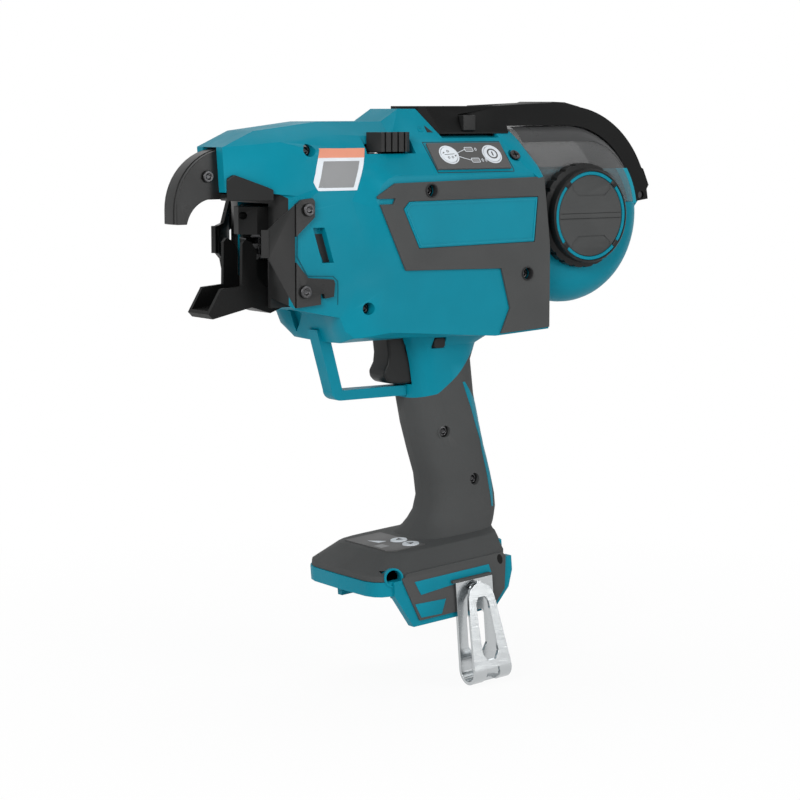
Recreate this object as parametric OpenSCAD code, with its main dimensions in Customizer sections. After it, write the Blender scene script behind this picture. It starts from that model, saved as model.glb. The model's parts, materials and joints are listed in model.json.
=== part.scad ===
// Hand-held rebar tying tool. Nose towards -X, left side towards -Y, +Z up.
// The origin is the middle of the battery seat under the handle.

/* [Housing] */
// Height of the housing's underside above the battery seat
body_z = 133; // [126:1:142]
// Half width of the shoulder beside the lid
shoulder_half_w = 22; // [20:0.25:25]
// Step from the shoulder out to the front cheeks that carry the contact plates
cheek_step = 9; // [8:0.25:10]
// Step from the cheeks out to the side panels
panel_step = 6; // [5:0.25:7]
// Half width of the nose at its tip
nose_half_w = 12.4; // [11.5:0.2:14]
// Room above the feed plate up to the deck under the lid
feed_head = 18; // [17:0.5:20]
// Drop from the deck to the top edge of the side panels
side_drop = 20.5; // [18:0.5:23]
// Rise of the ridge in front of the lid
ridge_rise = 13.4; // [12:0.2:15]
// Rise of the nose's top over the deck
nose_rise = 7; // [5:0.5:9]
// Distance of the nose tip ahead of the battery seat
nose_x = 122; // [120:0.5:127]
// Distance of the mouth's rear wall ahead of the battery seat
mouth_x = 97; // [96:0.5:98]
// Distance of the housing's rear face behind the battery seat
rear_x = 67.5; // [65:0.5:69]
// Half width of the mouth
mouth_half_w = 15; // [14.5:0.25:16]
// Radius of a screw boss
boss_r = 4; // [3.5:0.25:4.5]
// Radius of a housing screw's shank
screw_r = 1.6; // [1.4:0.1:1.8]
// Radius of a housing screw's head
head_r = 3; // [2.6:0.1:3.2]

/* [Trim] */
// Thickness of the dark side frame
trim_t = 1.4; // [1:0.1:2]
// Thickness of the badge plate
badge_t = 1.6; // [1:0.1:2.2]

/* [Handle and foot] */
// Half width of the grip at its waist
grip_half_w = 16.5; // [15.5:0.25:18]
// Depth of the grip at its waist, front to back
grip_depth = 45; // [43:0.5:48]
// Wall of the handle shells
grip_wall = 2.6; // [2.2:0.1:3.2]
// Half width of the foot
foot_half_w = 38; // [36:0.5:40]
// Distance of the foot's front lip ahead of the seat's middle
foot_front = 45; // [43:0.5:48]
// Distance of the foot's rear end behind the seat's middle
foot_rear = 44.5; // [43:0.5:46]
// Height of the teal rim above the seat
rim_h = 8; // [7:0.25:9]
// Drop of the side skirts below the seat
skirt_drop = 18.5; // [15:0.5:20]
// Thickness of a skirt
skirt_t = 5; // [4:0.25:6]
// Height of the foot's top deck above the seat
deck_w = 20; // [19:0.25:21]
// Slope of the foot, front end down
foot_tilt = 4.5; // [3:0.25:6]

/* [Wire guides] */
// Outer radius of the curl arm
arm_r = 30.9; // [29:0.1:31.5]
// Inner radius of the curl arm's hook
arm_bore_r = 15.8; // [15:0.2:16.5]
// Width of the curl arm's core
arm_core_w = 7; // [6:0.25:8]
// Thickness of each arm cheek
arm_cheek_t = 2.9; // [2.5:0.1:3.5]
// Half gap between the lower guide's uprights
guide_half_gap = 8; // [7.5:0.25:8.5]
// Thickness of the lower guide's walls
guide_t = 2.4; // [2:0.1:2.8]
// Radius of the lower guide's pin
guide_pin_r = 2; // [1.8:0.1:2.4]
// Thickness of a contact plate
plate_t = 2; // [1.6:0.1:2.4]

/* [Drive] */
// Radius of the twisting sleeve
sleeve_r = 7; // [6.5:0.25:7.5]
// Tooth module of the twist gears
gear_m = 1; // [0.9:0.05:1.1]
// Teeth of the twist gear
gear_n = 36; // [34:1:37]
// Teeth of the motor pinion
pinion_n = 12; // [11:1:13]
// Face width of the twist gear
gear_w = 8; // [6:0.5:9]
// Radius of the twist motor's can
motor_r = 16; // [14:0.5:17]
// Length of the twist motor's can
motor_len = 44; // [38:1:46]
// Height of the twist motor's can above the housing's underside
motor_lift = 7.85; // [7:0.05:9]
// Room between the twist gear and the feed plate
feed_lift = 20; // [19:0.5:22]
// Radius of the feed motor
feed_motor_r = 12; // [10:0.5:12.5]
// Radius of the feed wheels
feed_r = 7; // [6.5:0.1:7.2]
// Gap for the wire between the feed wheels
wire_gap = 0.8; // [0.6:0.1:1.6]

/* [Reel] */
// Radius of the reel case
case_r = 48.5; // [45:0.5:52]
// Half width of the reel case
case_half_w = 24.6; // [24:0.2:25.6]
// Rounding of the reel case's edges
case_round = 14; // [11:0.5:15]
// Wall of the reel case
case_t = 2.4; // [2.2:0.1:2.8]
// Wall of the smoked lid
lid_t = 1.8; // [1.4:0.1:1.9]
// Height of the lid's seam over the middle of the reel
seam_rise = 6.5; // [5:0.5:8]
// Depth of the reel case's front inside the housing
case_bite = 19.4; // [17:0.2:20]
// Rise of the reel case's top over the deck
case_crown = 4; // [3:0.25:5]
// Half width of the lid's spine
spine_half_w = 15; // [13:0.5:16]
// Rise of the spine above the reel case
spine_rise = 10.8; // [10.2:0.1:12]
// Radius of the knob's ribbed ring
knob_r = 28.4; // [27:0.2:29.5]
// Height of the knob off the case
knob_h = 12; // [11:0.25:13]
// Radius of the knob's soft face
knob_face_r = 22; // [21:0.2:22.4]

/* [Controls] */
// Half width of the trigger
trigger_half_w = 7.8; // [7.2:0.2:8.8]
// Travel of the trigger
trigger_travel = 7; // [5:0.5:8]
// Radius of a key on the top panel
key_r = 5; // [4.5:0.1:5.4]

/* [Belt hook] */
// Width of the belt hook's strap
hook_w = 24.2; // [22:0.2:25]
// Thickness of the strap
hook_t = 1.8; // [1.4:0.1:2.2]
// Length of the hook below its screw
hook_len = 54.4; // [50:0.2:58]
// Spread between the hook's two leaves
hook_spread = 11; // [10:0.5:13]
// Lean of the outer leaf towards the foot, in degrees
hook_lean = 10.5; // [8:0.5:11]

/* [Fits] */
// Clearance of a piece seated in a pocket
fit = 0.2; // [0.15:0.05:0.3]
// Radial clearance of a pin in its bore
run = 0.08; // [0.05:0.01:0.1]
// Gap between pieces that move past each other
gap = 0.5; // [0.4:0.05:0.7]

/* [Hidden] */
$fn = 64;

teal = [0, 0.42, 0.5];
dark = [0.22, 0.22, 0.22];
black = [0.1, 0.1, 0.11];
steel = [0.72, 0.74, 0.76];
smoke = [0.25, 0.27, 0.28, 0.6];

// Heights in the housing's own frame, built up from the twist motor to the deck
mesh_slack = 0.15;
motor_z = motor_lift + motor_r;
twist_z = motor_z + gear_m * (gear_n + pinion_n) / 2 + mesh_slack;
feed_z = twist_z + gear_m * gear_n / 2 + feed_lift;
deck_h = feed_z + feed_head;
side_h = deck_h - side_drop;
ridge_h = deck_h + ridge_rise;
nose_h = deck_h + nose_rise;
shoulder_h = deck_h - 2;
// Half widths from the shoulder out to the side panels
cheek_half_w = shoulder_half_w + cheek_step;
body_half_w = cheek_half_w + panel_step;
slope = (shoulder_h - side_h) / (body_half_w - shoulder_half_w);
slope_angle = atan(slope);
// Places in X and Z of the mechanism
gear_x = -30;
reel_x = rear_x + case_r - case_bite;
reel_z = deck_h + case_crown - case_r;
seam_h = reel_z + seam_rise;
arm_c = [-nose_x + 7.6, 67.4];
hook_c = [-nose_x - 1.4, 57];
guide_c = [-mouth_x + 11, 22];
cutter_c = [-mouth_x + 6, twist_z + 15.5];
feed_x = gear_x;
feed_y = feed_r + wire_gap / 2;
lever_c = [feed_x + 18, -14];
ledge_half_w = shoulder_half_w;
hook_x = 14.6;
hook_z = -5;
hook_top = hook_z + 5.5;
knob_y = -case_half_w;
lid_c = [reel_x + case_r + 5.2, seam_h + 3];
split = [[-30, 96 - body_z], [-6, 96 - body_z], [8, 99 - body_z], [20, 108 - body_z],
  [31, 119 - body_z], [42, 2], [90, 2]];
rear_boss_z = 30;
rear_boss_x = reel_x - sqrt(pow(case_r + boss_r + 1.7, 2) - pow(reel_z - rear_boss_z, 2));
boss_at = [[-12, side_h - 8], [rear_boss_x, rear_boss_z], [-48.8, 15.8], [-79.8, nose_h - 14.3]];
grip_boss_at = [[13.2, 78.2], [32.7, 50.9]];
plate_screw_at = [[-85, 67.3], [-87, 26.1]];

function chamfer_z(y) = shoulder_h - (y - shoulder_half_w) * slope;
function arc(c, r, a0, a1, n) = [for (i = [0 : n]) let (a = a0 + (a1 - a0) * i / n) c + r * [cos(a),
  sin(a)]];
function mirrored(p) = [for (q = p) [q[0], -q[1]]];

// A solid through equal-count rings of points, each end closed with a fan about its hub
module loft(rings, hubs) {
  n = len(rings[0]);
  m = len(rings);
  points = concat([for (r = rings) for (p = r) p], hubs);
  sides = [for (i = [0 : m - 2]) for (j = [0 : n - 1]) let (a = i * n + j, b = i * n + (j + 1) % n)
    each [[a, b + n, b], [a, a + n, b + n]]];
  first = [for (j = [0 : n - 1]) [j, (j + 1) % n, m * n]];
  last = [for (j = [0 : n - 1]) [(m - 1) * n + (j + 1) % n, (m - 1) * n + j, m * n + 1]];
  polyhedron(points, concat(sides, first, last), convexity = 8);
}

// A loft drawn a little past the parting plane and cut there, on one side
spare = 3;
module half_loft(side, rings, hubs) {
  big = 400;
  scale_side(-side) difference() {
    loft(rings, hubs);
    translate([-big, -big, -big]) cube([2 * big, big, 2 * big]);
  }
}

module in_body() {
  translate([0, 0, body_z]) children();
}

module in_foot() {
  rotate([0, -foot_tilt, 0]) children();
}

// Extrudes an outline drawn in X and Z from y0 to y1
module slab(points, y0, y1) {
  translate([0, y1, 0]) rotate([90, 0, 0]) linear_extrude(y1 - y0) polygon(points);
}

module block(a, b) {
  translate(a) cube(b - a);
}

// A round bar along Y from y0 to y1 at a place in X and Z
module rod(at, r, y0, y1) {
  translate([at[0], y1, at[1]]) rotate([90, 0, 0]) cylinder(r = r, h = y1 - y0);
}

// A round bar along X from x0 to x1 at height z
module spindle(x0, x1, z, r) {
  translate([x0, 0, z]) rotate([0, 90, 0]) cylinder(r = r, h = x1 - x0);
}

// Keeps what is drawn on the left, or mirrors it to the right
module scale_side(side) {
  if (side < 0) children();
  else mirror([0, 1, 0]) children();
}

// Side outlines of the housing from the parting plane out to the side panels
function core_outline() = [[-57, -3], [-60, 5], [-62, 11], [-mouth_x, 24], [-mouth_x, 75.6],
  [-nose_x + 1.5, 76], [-nose_x, nose_h - 12.5], [-104, nose_h - 4.5], [-66, nose_h], [-26, nose_h],
  [-15.5, ridge_h], [-4, ridge_h], [-3.6, deck_h], [50, deck_h], [62, side_h], [rear_x, 0], [31, -1.5]];
function shoulder_outline() = [[-58, -2.5], [-63, 5], [-64.5, 12], [-mouth_x + 1, 21], [-mouth_x + 1, 75.4],
  [-nose_x + 18, 75.8], [-nose_x + 22.5, nose_h - 16.5], [-94, nose_h - 10], [-66, nose_h - 6.5],
  [-34, nose_h - 7.5], [-26, shoulder_h], [6, shoulder_h], [7, shoulder_h], [46, shoulder_h], [60, side_h],
  [rear_x, 0], [31, -1.5]];
function brow_outline(y) = [[-57, -0.5], [-62, 4.5], [-64.5, 11.5], [-mouth_x + 4, 19], [-mouth_x + 4, 73],
  [-88, 74], [-84, 90], [-78, 97], [-60, 98], [-41, 97], [-33, chamfer_z(y)], [-26, chamfer_z(y)],
  [-20, chamfer_z(y)], [48, chamfer_z(y)], [60, side_h], [rear_x, 0], [31, -2]];
function cheek_outline(y) = [[-55, 0.5], [-61, 4.5], [-64, 11.5], [-91, 17], [-91, 70], [-82, 73], [-70,
  80],
  [-60, 87], [-50, 90], [-40, 90.5], [-33, chamfer_z(y)], [-26, chamfer_z(y)], [-20, chamfer_z(y)],
  [50, chamfer_z(y)], [60.5, side_h], [rear_x, 0], [31, -2.4]];
function band_outline(y) = [[-52, 0.5], [-57, 4.5], [-59, 15], [-52, 30], [-47, 42], [-57, 71], [-52, 82],
  [-48, 86], [-44, 88], [-39, 88.5], [-33, chamfer_z(y)], [-26, chamfer_z(y)], [-20, chamfer_z(y)],
  [52, chamfer_z(y)], [61, side_h], [rear_x, -0.4], [31, -2.6]];
function side_outline() = [[-36, 3], [-38, 6], [-40, 17], [-38, 27], [-29, 36], [-43, 66], [-46, 72],
  [-42, 79], [-38, side_h - 1.5], [-34, side_h], [-30, side_h], [-24, side_h], [-18, side_h],
  [56, side_h], [62, side_h - 2], [rear_x - 0.5, -0.4], [31, -2.4]];
brow_half_w = cheek_half_w - 3;
band_half_w = cheek_half_w + 1;
stations = [[nose_half_w, core_outline()], [shoulder_half_w, shoulder_outline()],
  [brow_half_w, brow_outline(brow_half_w)], [cheek_half_w, cheek_outline(cheek_half_w)],
  [band_half_w, band_outline(band_half_w)], [body_half_w, side_outline()]];

// Left or right half of the housing's outside
module body_half(side) {
  rings = concat([[for (p = core_outline()) [p[0], -spare, p[1]]]],
    [for (s = stations) [for (p = s[1]) [p[0], s[0], p[1]]]]);
  half_loft(side, rings, [[-30, -spare, 86], [0, body_half_w, 45]]);
}

// Half of a cross-section of the handle: front and rear ends, half width, squareness, height and slope
ring_n = 12;
function ring_plan(f, r, w, e) = [for (i = [0 : ring_n]) let (a = i * 180 / ring_n, c = cos(a))
  [(f + r) / 2 + (r - f) / 2 * sign(c) * pow(abs(c), 2 / e), w * pow(abs(sin(a)), 2 / e)]];
function handle_ring(f, r, w, e, z, tilt) = [
  for (p = concat([[r, -spare]], ring_plan(f, r, w, e), [[f, -spare]])) [p[0], p[1], z + p[0] * tan(tilt)]];

// Sections of the foot and the grip, then those of the neck
waist = grip_depth - 45;
room_half_w = grip_half_w - grip_wall - 1.4;
g = grip_half_w;
foot_rings = [
  handle_ring(-foot_front, foot_rear, foot_half_w, 6, rim_h - spare, foot_tilt),
  handle_ring(-foot_front + 0.5, foot_rear, foot_half_w - 0.3, 6, rim_h + 3, foot_tilt),
  handle_ring(-foot_front + 12.5, foot_rear, foot_half_w - 8.5, 5, deck_w - 0.6, foot_tilt),
  handle_ring(-foot_front + 15, foot_rear + 0.5, foot_half_w - 10.5, 4.5, deck_w, foot_tilt),
  handle_ring(-1, foot_rear + 3, g + 5, 3.6, deck_w + 0.6, foot_tilt),
  handle_ring(2.6, foot_rear + 6.2, g + 3.5, 3, 24, 3),
  handle_ring(4.8, foot_rear + 8, g + 2.5, 2.7, 27.5, 2),
  handle_ring(8.3, foot_rear + 9.3, g + 1.6, 2.6, 33, 1),
  handle_ring(10, 53.4 + waist, g + 1.1, 2.5, 41, 0),
  handle_ring(7.9, 50.9 + waist, g + 0.5, 2.4, 53, 0),
  handle_ring(3.2, 46.6 + waist, g, 2.4, 67, 0)
];
neck_rings = [
  handle_ring(-1, 42.6 + waist, g + 0.5, 2.4, 82, 0),
  handle_ring(-3.6, 38.8 + waist, g + 1, 2.5, 97, 0),
  handle_ring(-6, 35.6 + waist, g + 1.5, 2.8, body_z - 17, 0),
  handle_ring(-8, 38.2 + waist, g + 2, 3.1, body_z - 8, 0),
  handle_ring(-10, 47.5 + waist, g + 5, 3.6, body_z - 2.5, 0),
  handle_ring(-11, 60, g + 12, 4, body_z + 3, 0)
];

module handle_half(side, rings) {
  last = len(rings) - 1;
  hubs = [for (r = [rings[0], rings[last]]) let (q = (r[0] + r[ring_n + 2]) / 2) [q[0], 5, q[2]]];
  half_loft(side, rings, hubs);
}

// Hollow of the grip and the neck
module handle_room() {
  slab([[15, 18], [41, 18], [41, 44], [38, 68], [34.5, 83], [31, 98], [29, body_z - 10], [30, body_z + 8],
    [-3, body_z + 8], [-1, body_z - 17], [2.5, 97], [6, 82], [10, 67], [13.5, 53], [15.5, 41]],
    -room_half_w, room_half_w);
}

module foot_room() {
  in_foot() block([-90, -60, -20], [90, 60, rim_h]);
  in_foot() block([-foot_front + 7, -foot_half_w + 6, -5], [foot_rear - riser_t - 4, foot_half_w - 6,
    rim_h + 5]);
  in_foot() block([-foot_front + 16, -foot_half_w + 15, 5], [foot_rear - riser_t - 4, foot_half_w - 15,
    deck_w - 3.4]);
}

// Everything above the curved line where the teal neck meets the dark grip
module neck_region(y_half) {
  in_body() slab(concat(split, [[90, 40], [-30, 40]]), -y_half, y_half);
}

module guard(side) {
  outer = concat([[-61, 3], [-51.6, -30]], arc([-46, -29.2], 5.8, 192, 270, 6), [[-4, -35], [-4, -29.6]]);
  inner = [[-45, -29.6], [-52.8, -1], [-52, 3]];
  w = 4.4;
  in_body() slab(concat(outer, inner), side < 0 ? -w : 0, side < 0 ? 0 : w);
}

// A recessed screw place: head counterbore from the left and a shank hole through both halves
module screw_place(at, head_y) {
  rod(at, screw_r + fit, -60, 30);
  rod(at, head_r + fit, -60, head_y);
}

module housing_cavities() {
  main = [[-88, 24], [-70, 19.5], [-56, 14.5], [-51, 4], [28, 4], [60, 8], [60, 74], [-60, 74], [-88, 70]];
  slab(main, -cheek_half_w + 5, cheek_half_w - 5);
  slab([[-52, 70], [44, 70], [44, feed_z], [-52, feed_z]], -ledge_half_w, ledge_half_w);
  block([2, -ledge_half_w + 4, feed_z - 1], [44, ledge_half_w - 4, deck_h - 3]);
  wide = [[-24, 7], [28, 7], [60, 10], [61, side_h - 9.5], [52, side_h - 6.5], [-32, side_h - 6.5], [-20,
    44]];
  slab(wide, -body_half_w + 3.2, body_half_w - 3.2);
  nose = [[-nose_x + 12, 79], [-98, nose_h - 7], [-66, nose_h - 4], [-36, nose_h - 4], [-36, 70], [-88,
    70]];
  slab(nose, -nose_half_w + 3, nose_half_w - 3);
  block([feed_x - 16, -shoulder_half_w + 2.5, feed_z - 1], [feed_x + 26, shoulder_half_w - 2.5,
    feed_z + 13]);
  block([feed_x - 16, -cheek_half_w + 5, feed_z], [feed_x + 26, cheek_half_w - 5, feed_z + 4]);
  block([-nose_x - 20, -mouth_half_w, 10], [-76, mouth_half_w, 70]);
  rod([reel_x, reel_z], case_r + gap, -case_half_w - gap, case_half_w + gap);
  for (s = [-1, 1]) scale_side(s) slab(side_slot, -cheek_half_w - 9, -cheek_half_w + 4);
}

// Slanted opening in each cheek behind the contact plate
side_slot = [[-80.5, 58], [-73.5, 58], [-68, 40], [-75, 40]];

// Pocket and slot for the release lever on the left shoulder
module lever_pocket() {
  z0 = feed_z + 8.5;
  translate([0, 0, z0]) linear_extrude(40)
    polygon([[feed_x - 16, -60], [feed_x - 16, -shoulder_half_w], [feed_x + 15.5, -shoulder_half_w],
      [feed_x + 15.5, -shoulder_half_w - 6], [feed_x + 11, -60]]);
  block([feed_x - 13, -shoulder_half_w - 1, z0], [feed_x + 13, -shoulder_half_w + 4, feed_z + 13.6]);
}

module arm_slot() {
  w = arm_core_w / 2 + arm_cheek_t + fit;
  block([-nose_x - 5, -w, 60], [-nose_x + 11, w, arm_c[1] + arm_r + fit]);
}

module neck(side) {
  intersection() {
    handle_half(side, neck_rings);
    neck_region(60);
    in_body() block([-60, -60, -60], [90, 60, 2]);
  }
}

// Room for the trigger and the switch in the neck
module trigger_room() {
  w = trigger_half_w + gap;
  block([-30, -w, -29], [1 + trigger_travel + 2 * gap, w, -1.4]);
}

module lock_room() {
  block([lock_x[0] - fit, -60, lock_z[0] - fit], [lock_x[1] + fit, 60, lock_z[1] + fit]);
}

module housing(side) {
  difference() {
    union() {
      difference() {
        union() {
          in_body() body_half(side);
          neck(side);
          guard(side);
        }
        in_body() housing_cavities();
        handle_room();
      }
      in_body() for (b = boss_at) rod(b, boss_r, side < 0 ? -boss_reach(b) : 0,
        side < 0 ? 0 : boss_reach(b));
    }
    in_body() {
      arm_slot();
      trigger_room();
      lock_room();
      for (b = boss_at) screw_place(b, -boss_reach(b) + 3);
      for (s = plate_screw_at) rod(s, screw_r + fit, -60, 60);
      if (side < 0) {
        lever_pocket();
        for (x = [mode_x, power_x]) on_slope(x) translate([0, 0, -8]) cylinder(r = key_r + 1, h = 20);
        panel_screw_place();
      }
    }
  }
}

// How far a boss reaches from the parting plane
function boss_reach(b) = b[1] > 90 ? 24 : (b[0] < -40 ? cheek_half_w : body_half_w - 1);

module housing_left() {
  color(teal) housing(-1);
}

module housing_right() {
  color(teal) housing(1);
}

// The sloped shoulder on the left, with +Z along its outward normal
mode_x = 5;
power_x = 33;
panel_x = [-6, 42];
panel_mid = [-(shoulder_half_w + body_half_w) / 2, chamfer_z((shoulder_half_w + body_half_w) / 2)];
module on_slope(x) {
  translate([x, panel_mid[0], panel_mid[1]]) rotate([slope_angle, 0, 0]) children();
}

module panel_screw_place() {
  on_slope(49) translate([0, 0, -9]) cylinder(r = screw_r + fit, h = 20);
  on_slope(49) translate([0, 0, -0.8]) cylinder(r = head_r + 1, h = 20);
}

module top_panel() {
  color(dark) in_body() difference() {
    on_slope(0) translate([panel_x[0], -9, fit / 4]) cube([panel_x[1] - panel_x[0], 17, 1.2]);
    for (x = [mode_x, power_x]) on_slope(x) translate([0, 0, -1]) cylinder(r = key_r + fit, h = 5);
  }
}

module key(x) {
  on_slope(x) {
    translate([0, 0, -1.6]) cylinder(r = key_r, h = 3.4);
    translate([0, 0, -1.6]) cylinder(r = key_r + 0.7, h = 1.2);
  }
}

module mode_key() {
  color("white") in_body() key(mode_x);
}

module power_key() {
  color("white") in_body() key(power_x);
}

// Dark inset panel on a skirt, joined to the foot above the rim
module skirt_panel(side) {
  y = side < 0 ? -foot_half_w - 1 : foot_half_w;
  y_in = side < 0 ? -foot_half_w - 1 : foot_half_w - 1.5;
  front = side < 0 ? [-20.6, -30.4] : [6, -4];
  in_foot() {
    slab([[front[0], -skirt_drop + 3], [30, -skirt_drop + 3], [36, -9], [38, rim_h + 1], [front[1],
      rim_h + 1]],
      y, y + 1);
    slab([[-29, rim_h + 0.4], [38, rim_h + 0.4], [36, rim_h + 3], [-27, rim_h + 3]], y_in, y_in + 2.5);
    if (side < 0) slab([[hook_x - hook_w / 2 - 2, hook_top + fit], [hook_x + hook_w / 2 - 1, hook_top + fit],
      [hook_x + hook_w / 2 - 1, hook_top + 1.6], [hook_x - hook_w / 2 - 2, hook_top + 1.6]], y - 2.4, y + 0.5);
  }
}

module hook_hole(r) {
  in_foot() rod([hook_x, hook_z], r, -70, 70);
}

module grip(side) {
  difference() {
    union() {
      difference() {
        handle_half(side, concat(foot_rings, [for (i = [0 : 4]) neck_rings[i]]));
        neck_region(60);
        in_body() block([-60, -60, -3.2], [90, 60, 60]);
        handle_room();
        foot_room();
      }
      skirt_panel(side);
      for (b = grip_boss_at) rod(b, boss_r, side < 0 ? -grip_half_w + 1 : 0,
        side < 0 ? 0 : grip_half_w - 1);
    }
    for (b = grip_boss_at) screw_place(b, -grip_half_w + 4);
    hook_hole(insert_r + fit);
    in_foot() block([foot_rear - riser_t - fit, -60, -20], [foot_rear + 9, 60, riser_h + fit]);
    if (side > 0) in_foot() block([hook_x - 5, foot_half_w - fit, -skirt_drop], [hook_x + 5, 60,
      hook_z + 5]);
    on_foot_panel() linear_extrude(20) polygon(foot_panel_plan(fit));
    for (k = foot_key_at) on_foot_panel() translate([k[0], k[1], -4]) cylinder(r = foot_key_r + 0.8,
      h = 10);
  }
}

module grip_left() {
  color(dark) grip(-1);
}

module grip_right() {
  color(dark) grip(1);
}

// Setting panel on the foot's deck, with its two keys
foot_panel_len = 23;
foot_panel_y = [-24, 19];
foot_key_r = 4.6;
foot_key_at = [[18.4, -5.6], [17.6, -17.8]];
// Outline of the panel, grown by k, with its near front corner cut off
function foot_panel_plan(k) = [[4 - k / 2, foot_panel_y[0] - k], [foot_panel_len + k, foot_panel_y[0] - k],
  [foot_panel_len + k, foot_panel_y[1] + k], [-k, foot_panel_y[1] + k], [-k, foot_panel_y[0] + 4 - k / 2]];
module on_foot_panel() {
  in_foot() translate([-26.5, 0, deck_w - 0.9]) children();
}

module foot_panel() {
  color(dark) on_foot_panel() difference() {
    translate([0, 0, fit / 4]) linear_extrude(1.4) polygon(foot_panel_plan(0));
    for (k = foot_key_at) translate([k[0], k[1], -1]) cylinder(r = foot_key_r + fit, h = 5);
  }
}

module foot_key(k) {
  on_foot_panel() translate([k[0], k[1], -1.4]) {
    cylinder(r = foot_key_r, h = 3.4);
    cylinder(r = foot_key_r + 0.6, h = 1.2);
  }
}

module down_key() {
  color("white") foot_key(foot_key_at[0]);
}

module up_key() {
  color("white") foot_key(foot_key_at[1]);
}

// Teal rim of the foot with a skirt and a battery rail on each side
insert_r = 2.6;
riser_t = 3.4;
riser_h = 15.5;
module foot_rim(side) {
  front = side < 0 ? [-34.8, -24.2] : [-10, 0];
  skirt = [[front[0], 0], [front[1], -skirt_drop], [30, -skirt_drop], [foot_rear - 5, -9],
    [foot_rear - 2, 0],
    [foot_rear - 2, rim_h - fit], [front[0], rim_h - fit]];
  plan = ring_plan(-foot_front, foot_rear, foot_half_w, 6);
  y = side < 0 ? -foot_half_w : foot_half_w - skirt_t;
  rail = side < 0 ? -foot_half_w + skirt_t - 1 : foot_half_w - skirt_t - 3;
  difference() {
    union() {
      in_foot() difference() {
        scale_side(-side) linear_extrude(rim_h - fit) polygon(plan);
        block([-foot_front + 5, -foot_half_w + skirt_t, 2.4], [foot_rear - 4, foot_half_w - skirt_t, 20]);
        block([terminal_x[0] - 1, -14, -1], [terminal_x[1] + 1, 14, 10]);
      }
      in_foot() scale_side(-side) intersection() {
        linear_extrude(riser_h) polygon(plan);
        block([foot_rear - riser_t, 0, 0], [foot_rear + 1, foot_half_w - 8, riser_h]);
      }
      in_foot() slab(skirt, y, y + skirt_t);
      in_foot() block([-24, rail, -13], [32, rail + 4, -9]);
    }
    hook_hole(insert_r + run);
  }
}

module foot_rim_left() {
  color(teal) foot_rim(-1);
}

module foot_rim_right() {
  color(teal) foot_rim(1);
}

module control_board() {
  color("darkgreen") in_foot() difference() {
    block([-foot_front + 8, -foot_half_w + skirt_t + 2, 2.6], [foot_rear - 8, foot_half_w - skirt_t - 2,
      4.2]);
    hook_hole(insert_r + 1);
  }
}

terminal_x = [-18, 22];
module terminal_block() {
  color(black) in_foot() union() {
    block([terminal_x[0], -13, -7], [terminal_x[1], 13, 2.4]);
    for (y = [-9, -3, 3, 9]) block([terminal_x[0] + 4, y - 0.5, -11], [terminal_x[1] - 8, y + 0.5, -6.5]);
  }
}

// Side frame and badge
frame_outline = [[-45.8, 73.1], [-34.7, 79.6], [62.4, 81.4], [66.6, 45], [66.6, 0.6], [34, -1.2], [40,
  12], [34, 33.4],
  [-27.8, 34.7]];
badge_outline = [[-26, 70.2], [58.4, 70.8], [56.2, 46.9], [-19.6, 45.8], [-29.6, 66.4]];

module side_trim(side) {
  y0 = side < 0 ? -body_half_w - trim_t : body_half_w;
  difference() {
    in_body() slab(frame_outline, y0, y0 + trim_t);
    in_body() slab(badge_outline, y0 - 1, y0 + trim_t + 1);
    in_body() for (b = boss_at) rod(b, head_r + fit, -60, 60);
  }
}

module side_trim_left() {
  color(dark) side_trim(-1);
}

module side_trim_right() {
  color(dark) side_trim(1);
}

function shrunk(points, k) = let (c = [for (i = [0,
  1]) [for (p = points) 1] * [for (p = points) p[i]] / len(points)])
  [for (p = points) c + (p - c) * (1 - k)];

module badge(side) {
  y0 = side < 0 ? -body_half_w - badge_t : body_half_w;
  in_body() slab(shrunk(badge_outline, 0.01), y0, y0 + badge_t);
}

module badge_left() {
  color(teal) badge(-1);
}

module badge_right() {
  color(teal) badge(1);
}

// Guard cover under the nose: two wings joined by a floor
module nose_cover() {
  wing = [[-nose_x + 2, nose_half_w + 0.5], [-nose_x + 19, shoulder_half_w + 0.6],
    [-nose_x + 22, shoulder_half_w + 1.8], [-nose_x + 22, shoulder_half_w + 3.8],
    [-nose_x + 18.5, shoulder_half_w + 2.6], [-nose_x + 1, nose_half_w + 2.4]];
  floor_plan = [[-nose_x + 2, -nose_half_w - 1], [-nose_x + 19, -shoulder_half_w - 1],
    [-nose_x + 19, shoulder_half_w + 1], [-nose_x + 2, nose_half_w + 1]];
  color(black) in_body() difference() {
    union() {
      for (p = [wing, mirrored(wing)]) translate([0, 0, 71.8]) linear_extrude(14.4) polygon(p);
      translate([0, 0, 71.8]) linear_extrude(3.4) polygon(floor_plan);
    }
    slab([[-nose_x + 4.5, 85], [-nose_x + 23, 77], [-nose_x + 23, 95], [-nose_x - 5, 95], [-nose_x - 5,
      78]], -60, 60);
    arm_slot();
  }
}

// Curl arm: a hooked core between two cheeks, let into the nose
function arm_outline(r) = concat(arc(arm_c, r, 96, 180, 14), [[arm_c[0] - r, 60.2],
  [hook_c[0] - arm_bore_r + 0.4, 60.2]],
  arc(hook_c, arm_bore_r, 164, 97, 8), [[-nose_x + 10.6, 72.9], [-nose_x + 10.6, 96]]);
arm_screw_at = [-nose_x - 5.2, 84];
arm_half_w = arm_core_w / 2 + arm_cheek_t;

module curl_arm() {
  color(black) in_body() difference() {
    slab(arm_outline(arm_r), -arm_core_w / 2, arm_core_w / 2);
    rod(arm_screw_at, screw_r + run, -20, 20);
  }
}

module arm_cheek(side) {
  y0 = side < 0 ? -arm_half_w : arm_core_w / 2;
  in_body() difference() {
    slab(arm_outline(arm_r - 0.4), y0, y0 + arm_cheek_t);
    rod(arm_screw_at, screw_r + run, -20, 20);
  }
}

module arm_cheek_left() {
  color(black) arm_cheek(-1);
}

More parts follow.
